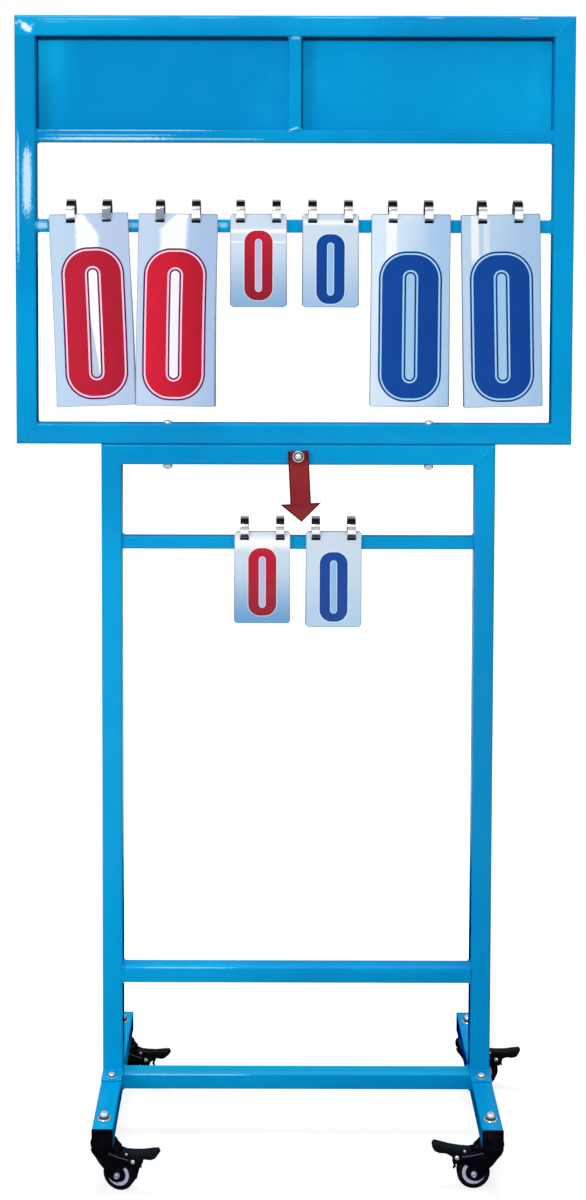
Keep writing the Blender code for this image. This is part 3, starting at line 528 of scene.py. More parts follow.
def card_finish(
    name, figure, inks, ground, size, digit, centre, lines, painted_streaks, hole, ink_darkening, painted_low_shade=None, painted_sheens=()
):
    """Laminated card with a printed figure and a plain back.

    The attribute card_place holds the place across and up the card in x and z, and in y 1 on the back.
    """
    material, graph, shader = new_finish(name)
    place = graph.attribute("card_place")
    across, side, up = graph.split(place)
    width, height = size
    ink, line, keyline, rim_tint = inks
    # Painted shade: the ground darkens from the card's left to its right; the noise adds a random tone
    tone = graph.plus(graph.times(across, 3.0 / width * 0.28), graph.noise(place, 9.0, 2.0))
    base = graph.mix(graph.band(tone, 0.15, 0.95), *ground)
    plain = base
    # Painted shade: darker toward the lower end
    if painted_low_shade:
        base = graph.mix(graph.band(up, height * 0.25, -height * 0.58), base, painted_low_shade)
    # Painted sheens: pale bands across the card
    for sheen_z, half, strength in painted_sheens:
        beside = graph.over(graph.unsigned(graph.minus(up, sheen_z)), half)
        soft = graph.plus(beside, graph.times(graph.noise(place, 30.0, 2.0), 0.5))
        base = graph.mix(graph.times(graph.band(soft, 1.25, 0.3), strength), base, CARD_PAINTED_HIGHLIGHT_AND_KEYLINE)

    # Painted highlights: white streaks under the slots, where the laminate bends
    for start_x, drift, start_half, spread, run, strength in painted_streaks:
        down = graph.least(graph.minus(height / 2, up), run)
        middle = graph.plus(graph.times(down, drift), start_x)
        half = graph.plus(graph.times(down, spread), start_half)
        off = graph.over(graph.unsigned(graph.minus(across, middle)), half)
        wander = graph.times(graph.minus(graph.noise(place, 60.0, 2.0), 0.5), 0.5)
        mask = graph.band(graph.plus(off, wander), 1.16, 0.74)
        mask = graph.times(mask, graph.band(up, height * 0.22, height * 0.30))
        base = graph.mix(graph.times(mask, strength), base, CARD_PAINTED_HIGHLIGHT_AND_KEYLINE)
    sides = graph.minus(graph.unsigned(across), width / 2)
    ends = graph.minus(graph.unsigned(up), height / 2)
    rim = graph.band(graph.most(sides, ends), -0.0012, -0.0006, 0.0, 0.8)
    base = graph.mix(rim, base, rim_tint)

    centre = graph.vector("SUBTRACT", place, (centre[0], 0.0, centre[1]))
    half_width, half_height, hole_width, hole_height = (measure / 2 for measure in digit)

    def bar(middle, half_x, half_z, corner):
        """Distance from the edge of a bar with rounded corners round this middle."""
        sizes = {"Half_Width": half_x, "Half_Height": half_z, "Corner": corner}
        return graph.group(rounded_bar, Place=middle, **sizes)["Distance"]

    if figure == "0":
        outer = bar(centre, half_width, half_height, half_width * 0.86)
        inner = bar(centre, hole_width, hole_height, hole_width)
        edge = graph.most(outer, graph.times(inner, -1.0))
        hole_tint, glare = hole
        # Painted glare: the digit's hole turns white beyond a slanted line
        if glare:
            offset, slope = glare
            lit = graph.plus(across, graph.times(up, slope))
            hole_tint = graph.mix(graph.band(lit, offset - 0.0012, offset + 0.0012), hole_tint, CARD_PAINTED_HIGHLIGHT_AND_KEYLINE)
        base = graph.mix(ink_mask(graph, inner), base, hole_tint)
    else:
        stem = graph.vector("SUBTRACT", centre, (half_width * 0.22, 0.0, 0.0))
        stem = bar(stem, half_width * 0.33, half_height, half_width * 0.1)
        flag = graph.vector("SUBTRACT", centre, (-half_width * 0.2, 0.0, half_height - half_width * 0.5))
        flag = bar(flag, half_width * 0.5, half_width * 0.22, half_width * 0.1)
        edge = graph.least(stem, flag)
    if lines:
        base = graph.mix(stroke_mask(graph, edge, 0.0, 0.0027), base, keyline)
        base = graph.mix(stroke_mask(graph, edge, 0.0026, 0.0054), base, line)
    else:
        base = graph.mix(graph.times(stroke_mask(graph, edge, 0.0, 0.0010), 0.6), base, CARD_PAINTED_HIGHLIGHT_AND_KEYLINE)
    press = graph.noise(place, 26.0, 2.0)
    inked = graph.mix(graph.band(press, 0.3, 0.75, 0.0, 0.18), ink, (*[part * 0.72 for part in ink[:3]], 1.0))
    # The ink darkens toward the right of a big card and toward the lower end of a small one
    along, down, least = ink_darkening
    fall = graph.plus(graph.times(across, along), graph.times(up, -down))
    fall = graph.band(fall, -0.45, 0.55, 1.0, least, False)
    inked = graph.mix(1.0, inked, graph.join(fall, fall, fall), "MULTIPLY")
    printed = graph.mix(ink_mask(graph, edge), base, inked)
    both_sides = graph.mix(graph.band(side, 0.4, 0.6), printed, plain)
    smear = graph.band(graph.noise(place, 70.0, 3.0, 0.6), 0.3, 0.75, 0.10, 0.26)
    surface(graph, shader, both_sides, smear, graph.noise(place, 34.0, 2.0), 0.0012, 0.25, 1.30)
    return material


blue_enamel = enamel_finish("blue_enamel", ENAMEL_DEEP, ENAMEL_LIGHT, 0.10, PAINTED_GLINTS)
red_enamel = arrow_finish()
recess_painted_shade = recess_finish()
ring_chrome = ring_finish()
bolt_zinc = metal_finish("bolt_zinc", (0.80, 0.81, 0.83, 1.0), 0.12, 0.28)
# Dark zinc as painted shade, for the nut flats and the bolt seats
painted_shade_zinc = metal_finish("painted_shade_zinc", (0.07, 0.08, 0.09, 1.0), 0.20, 0.35)
cap_plastic = plastic_finish("cap_plastic", BLACK_PLASTIC, 0.35, 0.55, 900.0)
castor_plastic = plastic_finish("castor_plastic", BLACK_PLASTIC, 0.30, 0.50, 700.0)
pedal_plastic = plastic_finish("pedal_plastic", PEDAL_PLASTIC, 0.28, 0.48, 700.0)
tread_rubber = plastic_finish("wheel_rubber", TREAD_BLACK, 0.55, 0.80, 500.0)
# Pale grey of the wheel rings, partly a painted highlight
ring_highlight_plastic = plastic_finish("wheel_ring", RING_GREY, 0.30, 0.45, 600.0)
# Pale colour of the castors' raised seams, a painted highlight
seam_highlight_plastic = plastic_finish("seam_painted_highlight", colour(84, 80, 98), 0.35, 0.55, 700.0)
axle_zinc = metal_finish("axle_zinc", (0.50, 0.62, 0.76, 1.0), 0.15, 0.30)

INKS = {
    "red": (RED_INK, RED_LINE, RED_KEYLINE, colour(140, 136, 178)),
    "bright_red": (BRIGHT_RED_INK, RED_LINE, RED_KEYLINE, colour(140, 136, 178)),
    "blue": (BLUE_INK, BLUE_LINE, BLUE_KEYLINE, colour(72, 92, 132)),
}
RED_DIGIT = (0.0877, 0.2266, 0.0239, 0.1780)
BLUE_DIGIT = (0.0877, 0.2240, 0.0239, 0.1765)


# Meshes
def mesh_of(shape, name):
    """A mesh made from a bmesh, which is freed."""
    mesh = bpy.data.meshes.new(name)
    shape.to_mesh(mesh)
    shape.free()
    return mesh


def placed(name, data):
    """A new object of this mesh, lamp or camera in the scene."""
    thing = bpy.data.objects.new(name, data)
    bpy.context.scene.collection.objects.link(thing)
    return thing


def piece(shape, name, material, body, replaced=(), smooth_deg=35):
    """Turns a bmesh, already in place, into a piece that rides on a body."""
    mesh = mesh_of(shape, name)
    thing = placed(name, mesh)
    mesh.materials.append(material)
    mesh.shade_smooth()
    mesh.set_sharp_from_angle(angle=math.radians(smooth_deg))
    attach(thing, body)
    if replaced:
        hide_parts(*replaced)
    return thing


def turn(shape, place):
    bmesh.ops.transform(shape, matrix=place, verts=shape.verts)


def move(shape, spot):
    turn(shape, Matrix.Translation(spot))


def rounded(shape, kind, offset, segments):
    """Rounds all the edges of a solid, or all the corners of a flat outline."""
    parts = shape.edges[:] if kind == "EDGES" else shape.verts[:]
    round_off = {"profile": 0.5, "affect": kind, "material": -1}
    bmesh.ops.bevel(shape, geom=parts, offset=offset, segments=segments, **round_off)


def oblong(wide, deep, corner, segments):
    """A flat oblong about the origin, with rounded corners."""
    shape = bmesh.new()
    bmesh.ops.create_grid(shape, x_segments=1, y_segments=1, size=0.5)
    bmesh.ops.scale(shape, vec=(wide, deep, 1.0), verts=shape.verts)
    rounded(shape, "VERTICES", corner, segments)
    return shape


def slab(size, middle, edge=0.0, segments=1):
    """A rectangular block with its middle at this place."""
    shape = bmesh.new()
    bmesh.ops.create_cube(shape, size=1.0)
    bmesh.ops.scale(shape, vec=size, verts=shape.verts)
    if edge:
        rounded(shape, "EDGES", edge, segments)
    move(shape, middle)
    return shape


def spun(profile, steps=20, closed=False):
    """A solid of revolution about z from (radius, z) points: from axis to axis, or closed for a ring."""
    shape = bmesh.new()
    points = [shape.verts.new((radius, 0.0, z)) for radius, z in profile]
    ends = points[1:] + points[:1] if closed else points[1:]
    edges = [shape.edges.new(pair) for pair in zip(points, ends)]
    about = {"cent": (0, 0, 0), "axis": (0, 0, 1), "angle": math.tau}
    bmesh.ops.spin(shape, geom=points + edges, steps=steps, use_merge=True, **about)
    bmesh.ops.remove_doubles(shape, verts=shape.verts, dist=1e-6)
    bmesh.ops.recalc_face_normals(shape, faces=shape.faces)
    return shape


def merged(*shapes):
    """One bmesh from several."""
    whole = bmesh.new()
    for shape in shapes:
        mesh = mesh_of(shape, "part")
        whole.from_mesh(mesh)
        bpy.data.meshes.remove(mesh)
    return whole


def square_tube(wide, deep, length, corner, slope_low=0.0, slope_high=0.0):
    """A square tube along z with well rounded corners; a slope cuts that end as a mitre across x."""
    shape = oblong(wide, deep, corner, 6)
    grown = bmesh.ops.extrude_face_region(shape, geom=shape.faces[:])
    high = {part for part in grown["geom"] if isinstance(part, bmesh.types.BMVert)}
    for vert in shape.verts:
        end, slope = (0.5, slope_high) if vert in high else (-0.5, slope_low)
        vert.co.z = end * length + slope * vert.co.x
    bmesh.ops.recalc_face_normals(shape, faces=shape.faces)
    return shape


ACROSS = Matrix.Rotation(math.pi / 2, 4, "Y")
ALONG = Matrix.Rotation(-math.pi / 2, 4, "X")
FORWARD = Matrix.Rotation(math.pi / 2, 4, "X")
UPRIGHT = Matrix.Identity(4)
TURNS = (ACROSS, ALONG, UPRIGHT)
OUTWARD = {-1: FORWARD, 1: ALONG}
POSTS = (("stand_left_post", -1), ("stand_right_post", 1))
TUBE_CORNER = 0.0036
RAIL_CORNER = 0.0024


def tubes():
    """Every steel tube of the frame, where its solid is, with round corners that catch the light."""
    plans = (
        ("board_left_post", 2, TUBE_CORNER, 1, -1),
        ("board_right_post", 2, TUBE_CORNER, -1, 1),
        ("board_top_rail", 0, TUBE_CORNER, 1, -1),
        ("board_bottom_rail", 0, TUBE_CORNER, -1, 1),
        ("header_rail", 0, RAIL_CORNER, 0, 0),
        ("header_mullion", 2, RAIL_CORNER, 0, 0),
        ("board_card_rail", 0, RAIL_CORNER, 0, 0),
        ("stand_top_rail", 0, TUBE_CORNER, 1, -1),
        ("stand_card_rail", 0, RAIL_CORNER, 0, 0),
        ("stand_brace", 0, RAIL_CORNER, 0, 0),
        ("foot_brace", 0, RAIL_CORNER, 0, 0),
        ("left_foot", 1, TUBE_CORNER, 0, 0),
        ("right_foot", 1, TUBE_CORNER, 0, 0),
    )
    for node, axis, corner, slope_low, slope_high in plans:
        low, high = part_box(node)
        size = high - low
        section = [size[i] for i in range(3) if i != axis]
        wide, deep = section if axis != 0 else reversed(section)
        length = size[axis] - wide * (abs(slope_low) + abs(slope_high)) / 2
        shape = square_tube(wide, deep, length, corner, slope_low, slope_high)
        turn(shape, Matrix.Translation((low + high) / 2) @ TURNS[axis])
        piece(shape, f"{node}_tube", blue_enamel, "root", [node])
    for node, side in POSTS:
        low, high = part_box(node)
        foot = low.z + BASE_PLATE / 2
        middle = Vector(((low.x + high.x) / 2, 0.0, (foot + high.z - TUBE / 2) / 2))
        shape = square_tube(TUBE, TUBE, high.z - TUBE / 2 - foot, TUBE_CORNER, 0.0, side)
        move(shape, middle)
        plate_size = (high.x - low.x, high.y - low.y, BASE_PLATE)
        foot_plate = slab(plate_size, (middle.x, 0.0, low.z + BASE_PLATE / 2), 0.0009, 3)
        piece(merged(shape, foot_plate), f"{node}_tube", blue_enamel, "root", [node])


def header_sheet():
    """The header's steel sheet, with edges folded back flat against the tubes round it."""
    low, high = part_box("header_panel")
    fold = 0.0056
    reach = 0.0004
    sheet = 0.0012
    spans = (
        (low.x, high.x, low.y, high.y, low.z, high.z),
        (low.x - reach, low.x + sheet, low.y, low.y + fold, low.z, high.z),
        (high.x - sheet, high.x + reach, low.y, low.y + fold, low.z, high.z),
        (low.x, high.x, low.y, low.y + fold, high.z - sheet, high.z + reach),
        (low.x, high.x, low.y, low.y + fold * 0.4, low.z, low.z + sheet),
    )
    shapes = []
    for x1, x2, y1, y2, z1, z2 in spans:
        shapes.append(slab((x2 - x1, y2 - y1, z2 - z1), ((x1 + x2) / 2, (y1 + y2) / 2, (z1 + z2) / 2)))
    piece(merged(*shapes), "header_sheet", recess_painted_shade, "root", ["header_panel"])


RING_RADIUS = 0.0203
RING_STRIP = 0.0012
RING_START = math.radians(33.0)
REAR_STRIP = (0.0015, 0.0102)
DULL_RINGS = {"red_tens": 1, "red_ones": -1}


def ring_pairs():
    """Chromed strip rings in pairs, with rolled edges, on the strip that joins them behind the rail."""
    for name in CARD_SETS:
        low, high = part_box(f"{name}_rings")
        middle_x = (low.x + high.x) / 2
        centre_z = high.z - RING_RADIUS
        shapes = []
        for side in (-1, 1):
            loop = oblong(RING_WIDTH, RING_STRIP, 0.0005, 3)
            turn(loop, FORWARD)
            move(loop, (side * RING_SPACING / 2, 0.0, -(RING_RADIUS - RING_STRIP / 2)))
            turn(loop, Matrix.Rotation(-RING_START, 4, "X"))
            whole = loop.faces[:] + loop.edges[:] + loop.verts[:]
            sweep = math.tau - 2 * RING_START
            bmesh.ops.spin(loop, geom=whole, cent=(0, 0, 0), axis=(-1, 0, 0), angle=sweep, steps=56)
            bmesh.ops.recalc_face_normals(loop, faces=loop.faces)
            move(loop, (middle_x, 0.0, centre_z))
            shapes.append(loop)
        size = (high.x - low.x, *REAR_STRIP)
        behind = RAIL / 2 + GAP + REAR_STRIP[0] / 2
        shapes.append(slab(size, (middle_x, behind, low.z + REAR_STRIP[1] / 2), 0.0004, 2))
        shape = merged(*shapes)
        spot = shape.verts.layers.float_vector.new("ring_place")
        for vert in shape.verts:
            dull = DULL_RINGS.get(name, 0) * (vert.co.x - middle_x) > 0
            vert[spot] = (float(dull), vert.co.y, vert.co.z - centre_z)
        piece(shape, f"{name}_ring_pair", ring_chrome, "root", [f"{name}_rings"])


def stem_nuts():
    """Dome nuts on washers, which hold the castors' stems on the feet."""
    for corner in CORNERS:
        low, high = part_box(f"castor_stem_{corner}")
        spot = Vector(((low.x + high.x) / 2, (low.y + high.y) / 2, 0.0))
        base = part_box("left_foot")[1].z + GAP
        top = base + 0.0011
        washer = [(0.0, base), (0.0102, base), (0.0105, base + 0.0004), (0.0100, top), (0.0, top)]
        dome = [(0.0, base + 0.0010), (0.0060, base + 0.0010)]
        dome += dome_profile(0.0069, base + 0.0050, 0.0066, 8)
        stem = [(0.0, low.z), (0.005, low.z), (0.005, base), (0.0, base)]
        shape = merged(spun(washer, 32), spun(dome, 32), spun(stem, 20))
        move(shape, spot)
        piece(shape, f"stem_nut_{corner}", bolt_zinc, "root", [f"castor_stem_{corner}"])
        # Painted shade: dark hex flats under the dome
        flats = hexagon(0.0085, base + 0.0012, base + 0.0046)
        move(flats, spot)
        piece(flats, f"stem_flats_{corner}", painted_shade_zinc, "root")


def arrow_plate():
    """The turning arrow, cut from sheet with softened edges."""
    pivot = Vector(joints["arrow_pivot"]["pos_m"])
    low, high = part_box("possession_arrow")
    top, tip = ARROW_RUN
    neck = tip + ARROW_HEAD[1]
    half = [(0.0, tip), (ARROW_HEAD[0] / 2, neck), (ARROW_SHAFT / 2, neck), (ARROW_SHAFT / 2, top)]
    outline = half + [(-x, z) for x, z in reversed(half[1:])]
    shape = plate(outline, low.y, high.y, 0.00045, 3)
    turn(shape, Matrix.Translation((pivot.x, 0.0, pivot.z)) @ Matrix.Rotation(ARROW_LEAN, 4, "Y"))
    piece(shape, "arrow_plate", red_enamel, "arrow", ["possession_arrow"])


def arrow_fastener():
    """Ringed washer and cap screw at the arrow's top, with its spacer, and the nut behind the rail."""
    pivot = Vector(joints["arrow_pivot"]["pos_m"])
    place = Matrix.Translation((pivot.x, 0.0, pivot.z)) @ FORWARD
    face = -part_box("possession_arrow")[0].y + GAP
    tail = -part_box("arrow_bolt")[1].y
    shank, spacer = 0.0030, 0.0055
    seat, spacer_face = 0.0163, 0.0190
    profile = [(0.0, tail), (shank, tail), (shank, seat), (spacer, seat), (spacer, spacer_face)]
    profile += [(shank, spacer_face), (shank, face), (0.0088, face), (0.0090, face + 0.0005)]
    profile += [(0.0086, face + 0.0012), (0.0076, face + 0.0014), (0.0070, face + 0.0004)]
    profile += [(0.0058, face + 0.0004)]
    profile += dome_profile(0.0057, face + 0.0012, 0.0046, 8)
    # Painted shade: a dark ring stands for the shadow in the washer's groove
    near, far, rim = face + 0.0003, face + 0.0009, 0.0071
    groove = spun([(0.0, near), (rim, near), (rim, far), (0.0, far)], 40)
    turn(groove, place)
    piece(groove, "arrow_groove_shadow", cap_plastic, "root")
    shape = merged(spun(profile, 40), hexagon(0.0056, -0.0213, -seat))
    turn(shape, place)
    piece(shape, "arrow_screw", bolt_zinc, "root", ["arrow_bolt"])


def card_sheet(size, corner, depth, lean_deg, bend, sway=LEVEL):
    """One slotted card sheet, hung from the rings' centre line.

    bend gives its forward lift from x and depth down, and sway how far its end and its middle move sideways.
    """
    width, height = size
    sheet = oblong(width, height, corner, 4)
    slot_high = height / 2 + CARD_TOP - SLOT_TOP
    slot_low = height / 2 + CARD_TOP - (FRONT_SLOT_BASE if depth > PACK_FAR else SLOT_BASE)
    slot_sides = [side * RING_SPACING / 2 + edge * SLOT_WIDTH / 2 for side in (-1, 1) for edge in (-1, 1)]
    columns = 8
    rows = 22 if height > 0.2 else 12
    cuts = [((x, 0, 0), (1, 0, 0)) for x in slot_sides]
    cuts += [((0, y, 0), (0, 1, 0)) for y in (slot_low, slot_high)]
    cuts += [((width * (i / columns - 0.5), 0, 0), (1, 0, 0)) for i in range(1, columns)]
    cuts += [((0, height * (i / rows - 0.5), 0), (0, 1, 0)) for i in range(1, rows)]
    for spot, across in cuts:
        geometry = sheet.verts[:] + sheet.edges[:] + sheet.faces[:]
        bmesh.ops.bisect_plane(sheet, geom=geometry, plane_co=spot, plane_no=across, dist=1e-6)
    slots = []
    for face in sheet.faces:
        middle = face.calc_center_median()
        beside = abs(abs(middle.x) - RING_SPACING / 2) < SLOT_WIDTH / 2
        if beside and slot_low < middle.y < slot_high:
            slots.append(face)
    bmesh.ops.delete(sheet, geom=slots, context="FACES")
    bmesh.ops.solidify(sheet, geom=sheet.faces[:], thickness=CARD_SHEET)
    bmesh.ops.recalc_face_normals(sheet, faces=sheet.faces)
    move(sheet, (0, 0, -min(vert.co.z for vert in sheet.verts)))
    turn(sheet, FORWARD)

    place = sheet.verts.layers.float_vector.new("card_place")
    for vert in sheet.verts:
        vert[place] = (vert.co.x, 1.0 if vert.co.y > -CARD_SHEET / 2 else 0.0, vert.co.z)
    move(sheet, (0.0, -depth, -CARD_TOP - height / 2))
    for vert in sheet.verts:
        vert.co.y -= bend(vert.co.x, -vert.co.z)
        down = min(SWAY_END, max(SWAY_START, -vert.co.z))
        bow = math.sin(math.pi * (down - SWAY_START) / (SWAY_END - SWAY_START))
        vert.co.x += sway[0] * ease(down, 0.05, 0.30) + sway[1] * bow
    pivot = Vector((0.0, 0.0, -(SLOT_TOP + SLOT_BASE) / 2))
    lean = Matrix.Rotation(math.radians(-lean_deg), 4, "Y")
    turn(sheet, Matrix.Translation(pivot) @ lean @ Matrix.Translation(-pivot))
    return sheet


def loose_sheets(size, corner, lean, spread, bend_at, sway=LEVEL):
    """The sheets behind a front card, each with its own lean and bend. bend_at takes a share of the pack."""
    sheets = []
    for index in range(PACK_SHEETS):
        share = index / (PACK_SHEETS - 1)
        depth = PACK_NEAR + share * (PACK_FAR - PACK_NEAR - CARD_SHEET)
        tilt = lean + chance.uniform(-spread, spread)
        sheets.append(card_sheet(size, corner, depth, tilt, bend_at(share), sway))
    return sheets


def ease(value, low, high):
    share = min(1.0, max(0.0, (value - low) / (high - low)))
    return share * share * (3 - 2 * share)


def big_bend(amount, twist=0.0):
    """Bend of a big card: a bow across it, and a lower end that lifts away from the pack."""
    def lift(x, down):
        bow = -0.0006 * ease(down, 0.03, 0.12) * (x / 0.06) ** 2
        return amount * ease(down, 0.10, 0.33) ** 1.5 + twist * x / 0.06 * ease(down, 0.12, 0.30) + bow
    return lift


def small_bend(amount):
    def lift(_, down):
        return amount * math.sin(math.pi * ease(down, 0.012, 0.150)) - 0.3 * amount * ease(down, 0.10, 0.15)
    return lift


def hang(sheets, name, hinge, material, body, replaced):
    shape = merged(*sheets)
    move(shape, hinge)
    piece(shape, name, material, body, replaced)


CARD_SETS = (
    "red_tens",
    "red_ones",
    "blue_tens",
    "blue_ones",
    "period_red",
    "period_blue",
    "foul_red",
    "foul_blue",
)
# Name, ink, digit and its middle; leans and sways of card and pack; bend and twist; ground left and right
# (painted shade);
# painted highlight streaks; tint and painted glare of the hole; how far the ink darkens
BIG_SETS = (
    (
        "red_tens", "red", RED_DIGIT, (0.0028, -0.0208),
        (2.1, 2.0), ((0.0007, 0.0006), (0.0022, 0.0014)), 0.0045, -0.0008,
        (colour(188, 211, 235), colour(179, 198, 228)),
        ((-0.0146, 0.33, 0.0068, 0.35, 0.034, 0.90),),
        (colour(190, 196, 224), (-0.0052, 0.134)), 0.78,
    ),
    (
        "red_ones", "bright_red", RED_DIGIT, (-0.0025, -0.0222),
        (-0.8, -0.40), ((-0.0006, -0.0012), (0.0, -0.0010)), 0.0045, 0.0010,
        (colour(191, 211, 236), colour(164, 190, 223)),
        ((0.0075, -0.60, 0.0095, 0.50, 0.024, 0.92),),
        (colour(242, 238, 249), None), 0.66,
    ),
    (
        "blue_tens", "blue", BLUE_DIGIT, (0.0, -0.0248),
        (-0.3, -0.2), (LEVEL, LEVEL), 0.0020, 0.0004,
        (colour(214, 232, 248), colour(164, 198, 231)),
        ((-0.0300, 0.0, 0.0088, 0.0, 0.036, 0.86),),
        (colour(157, 198, 232), None), 0.90,
    ),
    (
        "blue_ones", "blue", BLUE_DIGIT, (0.0, -0.0246),
        (1.3, 1.25), (LEVEL, LEVEL), 0.0022, -0.0006,
        (colour(186, 211, 234), colour(162, 195, 229)),
        ((-0.0402, 0.0, 0.0062, 0.0, 0.036, 0.74), (-0.0222, 0.0, 0.0052, 0.0, 0.036, 0.36)),
        (colour(157, 199, 233), None), 0.90,
    ),
)


def big_cards():
    """Front cards that show 0, and packs of loose sheets behind them, the first of which shows 1."""
    for name, ink, digit, centre, leans, sways, amount, twist, ground, painted_streaks, hole, least in BIG_SETS:
        hinge = Vector(joints[f"{name}_card_hinge"]["pos_m"])
        ink_darkening = (1.0 / digit[0], 0.0, least)
        printed = (BIG_CARD, digit, centre, True)
        front = card_finish(f"{name}_card", "0", INKS[ink], ground, *printed, painted_streaks, hole, ink_darkening)
        # Painted shade: the pack's sheets take a darker copy of the ground
        shaded = tuple(tuple(part * 0.60 for part in tint[:3]) + (1.0,) for tint in ground)
        behind = card_finish(f"{name}_next", "1", INKS[ink], shaded, *printed, (), None, ink_darkening)
        sheet = card_sheet(BIG_CARD, BIG_CORNER, PACK_FAR + GAP, leans[0], big_bend(amount, twist), sways[0])
        hang([sheet], f"{name}_printed_card", hinge, front, f"{name}_card_flip", [f"{name}_front_card"])

        def bend_at(share):
            return big_bend(amount * (0.25 + 0.5 * share), twist * share)

        sheets = loose_sheets(BIG_CARD, BIG_CORNER, leans[1], 0.2, bend_at, sways[1])
        hang(sheets, f"{name}_loose_cards", hinge, behind, f"{name}_pack_flip", [f"{name}_pack"])


SMALL_GROUND = (colour(204, 221, 236), colour(200, 218, 235))
SMALL_HOLES = {"red": (colour(184, 187, 221), None), "blue": (colour(140, 190, 229), None)}
# Name, team, digit's drop, bend, card height, digit height, painted shade of the lower end, painted sheens
# across
SMALL_SETS = (
    ("period_red", "red", -0.0074, 0.0022, 0.1450, 0.1086, colour(130, 173, 214),
     ((0.0458, 0.0056, 0.95), (0.0290, 0.0026, 0.70))),
    ("period_blue", "blue", -0.0128, 0.0008, 0.1450, 0.1086, colour(156, 191, 225),
     ((0.0594, 0.0062, 0.85),)),
    ("foul_red", "red", -0.0071, 0.0026, 0.1460, 0.1075, colour(98, 157, 208), ((0.056, 0.018, 1.0),)),
    ("foul_blue", "blue", -0.0120, 0.0008, 0.1515, 0.1105, colour(175, 208, 234), ()),
)


def small_cards():
    """Stacks of small cards, each one solid: a front sheet that shows 0, and loose sheets behind it."""
    for name, team, drop, amount, height, digit_height, painted_low_shade, painted_sheens in SMALL_SETS:
        hinge = Vector(joints[f"{name}_hinge"]["pos_m"])
        size = (SMALL_CARD[0], height)
        digit = (0.0440, digit_height, 0.0109, digit_height - 0.0262)
        places = (INKS[team], SMALL_GROUND, size, digit, (0.0, drop), False, (), SMALL_HOLES[team])
        ink_darkening = (0.0, 1.0 / digit_height, 0.55 if team == "red" else 0.92)
        front = card_finish(f"{name}_card", "0", *places, ink_darkening, painted_low_shade, painted_sheens)
        behind = card_finish(f"{name}_next", "1", *places, ink_darkening)
        sheet = card_sheet(size, SMALL_CORNER, PACK_FAR + GAP, 0.0, small_bend(amount))
        hang([sheet], f"{name}_printed_card", hinge, front, f"{name}_flip", [f"{name}_cards"])

        def bend_at(share):
            return small_bend(amount * (0.3 + 0.6 * share))

        sheets = loose_sheets(size, SMALL_CORNER, 0.0, 0.5, bend_at)
        hang(sheets, f"{name}_loose_cards", hinge, behind, f"{name}_flip", [f"{name}_cards"])


def new_puddle():
    shape = bmesh.new()
    bmesh.ops.create_uvsphere(shape, u_segments=10, v_segments=6, radius=1.0)
    return mesh_of(shape, "puddle")


PUDDLE = new_puddle()


def bead(shape, start, end, radius, flatten=(1.0, 1.0, 1.0)):
    """Adds one weld bead of overlapping puddles from start to end."""
    start = Vector(start)
    end = Vector(end)
    run = end - start
    count = max(2, round(run.length / (radius * 0.8)))
    for index in range(count + 1):
        size = radius * chance.uniform(0.85, 1.15)
        scale = [size * part for part in flatten]
        place = Matrix.Translation(start + run * index / count) @ Matrix.Diagonal((*scale, 1.0))
        first = len(shape.verts)
        shape.from_mesh(PUDDLE)
        shape.verts.ensure_lookup_table()
        bmesh.ops.transform(shape, matrix=place, verts=shape.verts[first:])


def joint_beads(shape, node, half_deep, half_high, radius):
    """Weld all round both square ends of a rail."""
    low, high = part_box(node)
    z = (low.z + high.z) / 2
    corners = [(-1, -1), (1, -1), (1, 1), (-1, 1)]
    inset = radius * 0.8 * 0.2
    for x in (low.x, high.x):
        spots = [(x, y * (half_deep - inset), z + up * (half_high - inset)) for y, up in corners]
        for start, end in zip(spots, spots[1:] + spots[:1]):
            bead(shape, start, end, radius)


def board_welds():
    shape = bmesh.new()
    low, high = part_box("board_left_post")
    for side in (-1, 1):
        for end_z, step in ((high.z, -1), (low.z, 1)):
            for face in (-1, 1):
                y = face * (TUBE / 2 - MITRE_INSET)
                start = (-side * low.x + side * -0.002, y, end_z + step * 0.002)
                end = (-side * high.x, y, end_z + step * (TUBE - 0.001))
                bead(shape, start, end, MITRE_BEAD, MITRE_FLATTEN)
    joint_beads(shape, "header_rail", RAIL / 2, RAIL / 2, 0.0022)
    joint_beads(shape, "board_card_rail", RAIL / 2, RAIL / 2, RAIL_BEAD)
    mullion_low, mullion_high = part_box("header_mullion")
    for z in (mullion_low.z, mullion_high.z):
        for face in (-1, 1):
            for start, end in (((-1, face), (1, face)), ((face, -1), (face, 1))):
                ends = [(px * RAIL / 2 * 0.96, py * RAIL / 2 * 0.96, z) for px, py in (start, end)]
                bead(shape, *ends, 0.0020)
    piece(shape, "board_weld_beads", blue_enamel, "root", smooth_deg=80)


def stand_welds():
    shape = bmesh.new()
    joint_beads(shape, "stand_card_rail", RAIL / 2, RAIL / 2, RAIL_BEAD)
    joint_beads(shape, "stand_brace", TUBE / 2, BRACE / 2, RAIL_BEAD)
    joint_beads(shape, "foot_brace", TUBE / 2, BRACE / 2, RAIL_BEAD)
    for node, side in POSTS:
        low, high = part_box(node)
        outer, inner = (low.x, high.x) if side < 0 else (high.x, low.x)
        plate_top = low.z + BASE_PLATE
        for face in (-1, 1):
            y = face * (TUBE / 2 - MITRE_INSET)
            start = (outer - side * 0.002, y, high.z - 0.002)
            bead(shape, start, (inner, y, high.z - TUBE + 0.001), MITRE_BEAD, MITRE_FLATTEN)
            y = face * TUBE / 2
            bead(shape, (low.x + 0.002, y, plate_top), (high.x - 0.002, y, plate_top), RAIL_BEAD)
    piece(shape, "stand_weld_beads", blue_enamel, "root", smooth_deg=80)


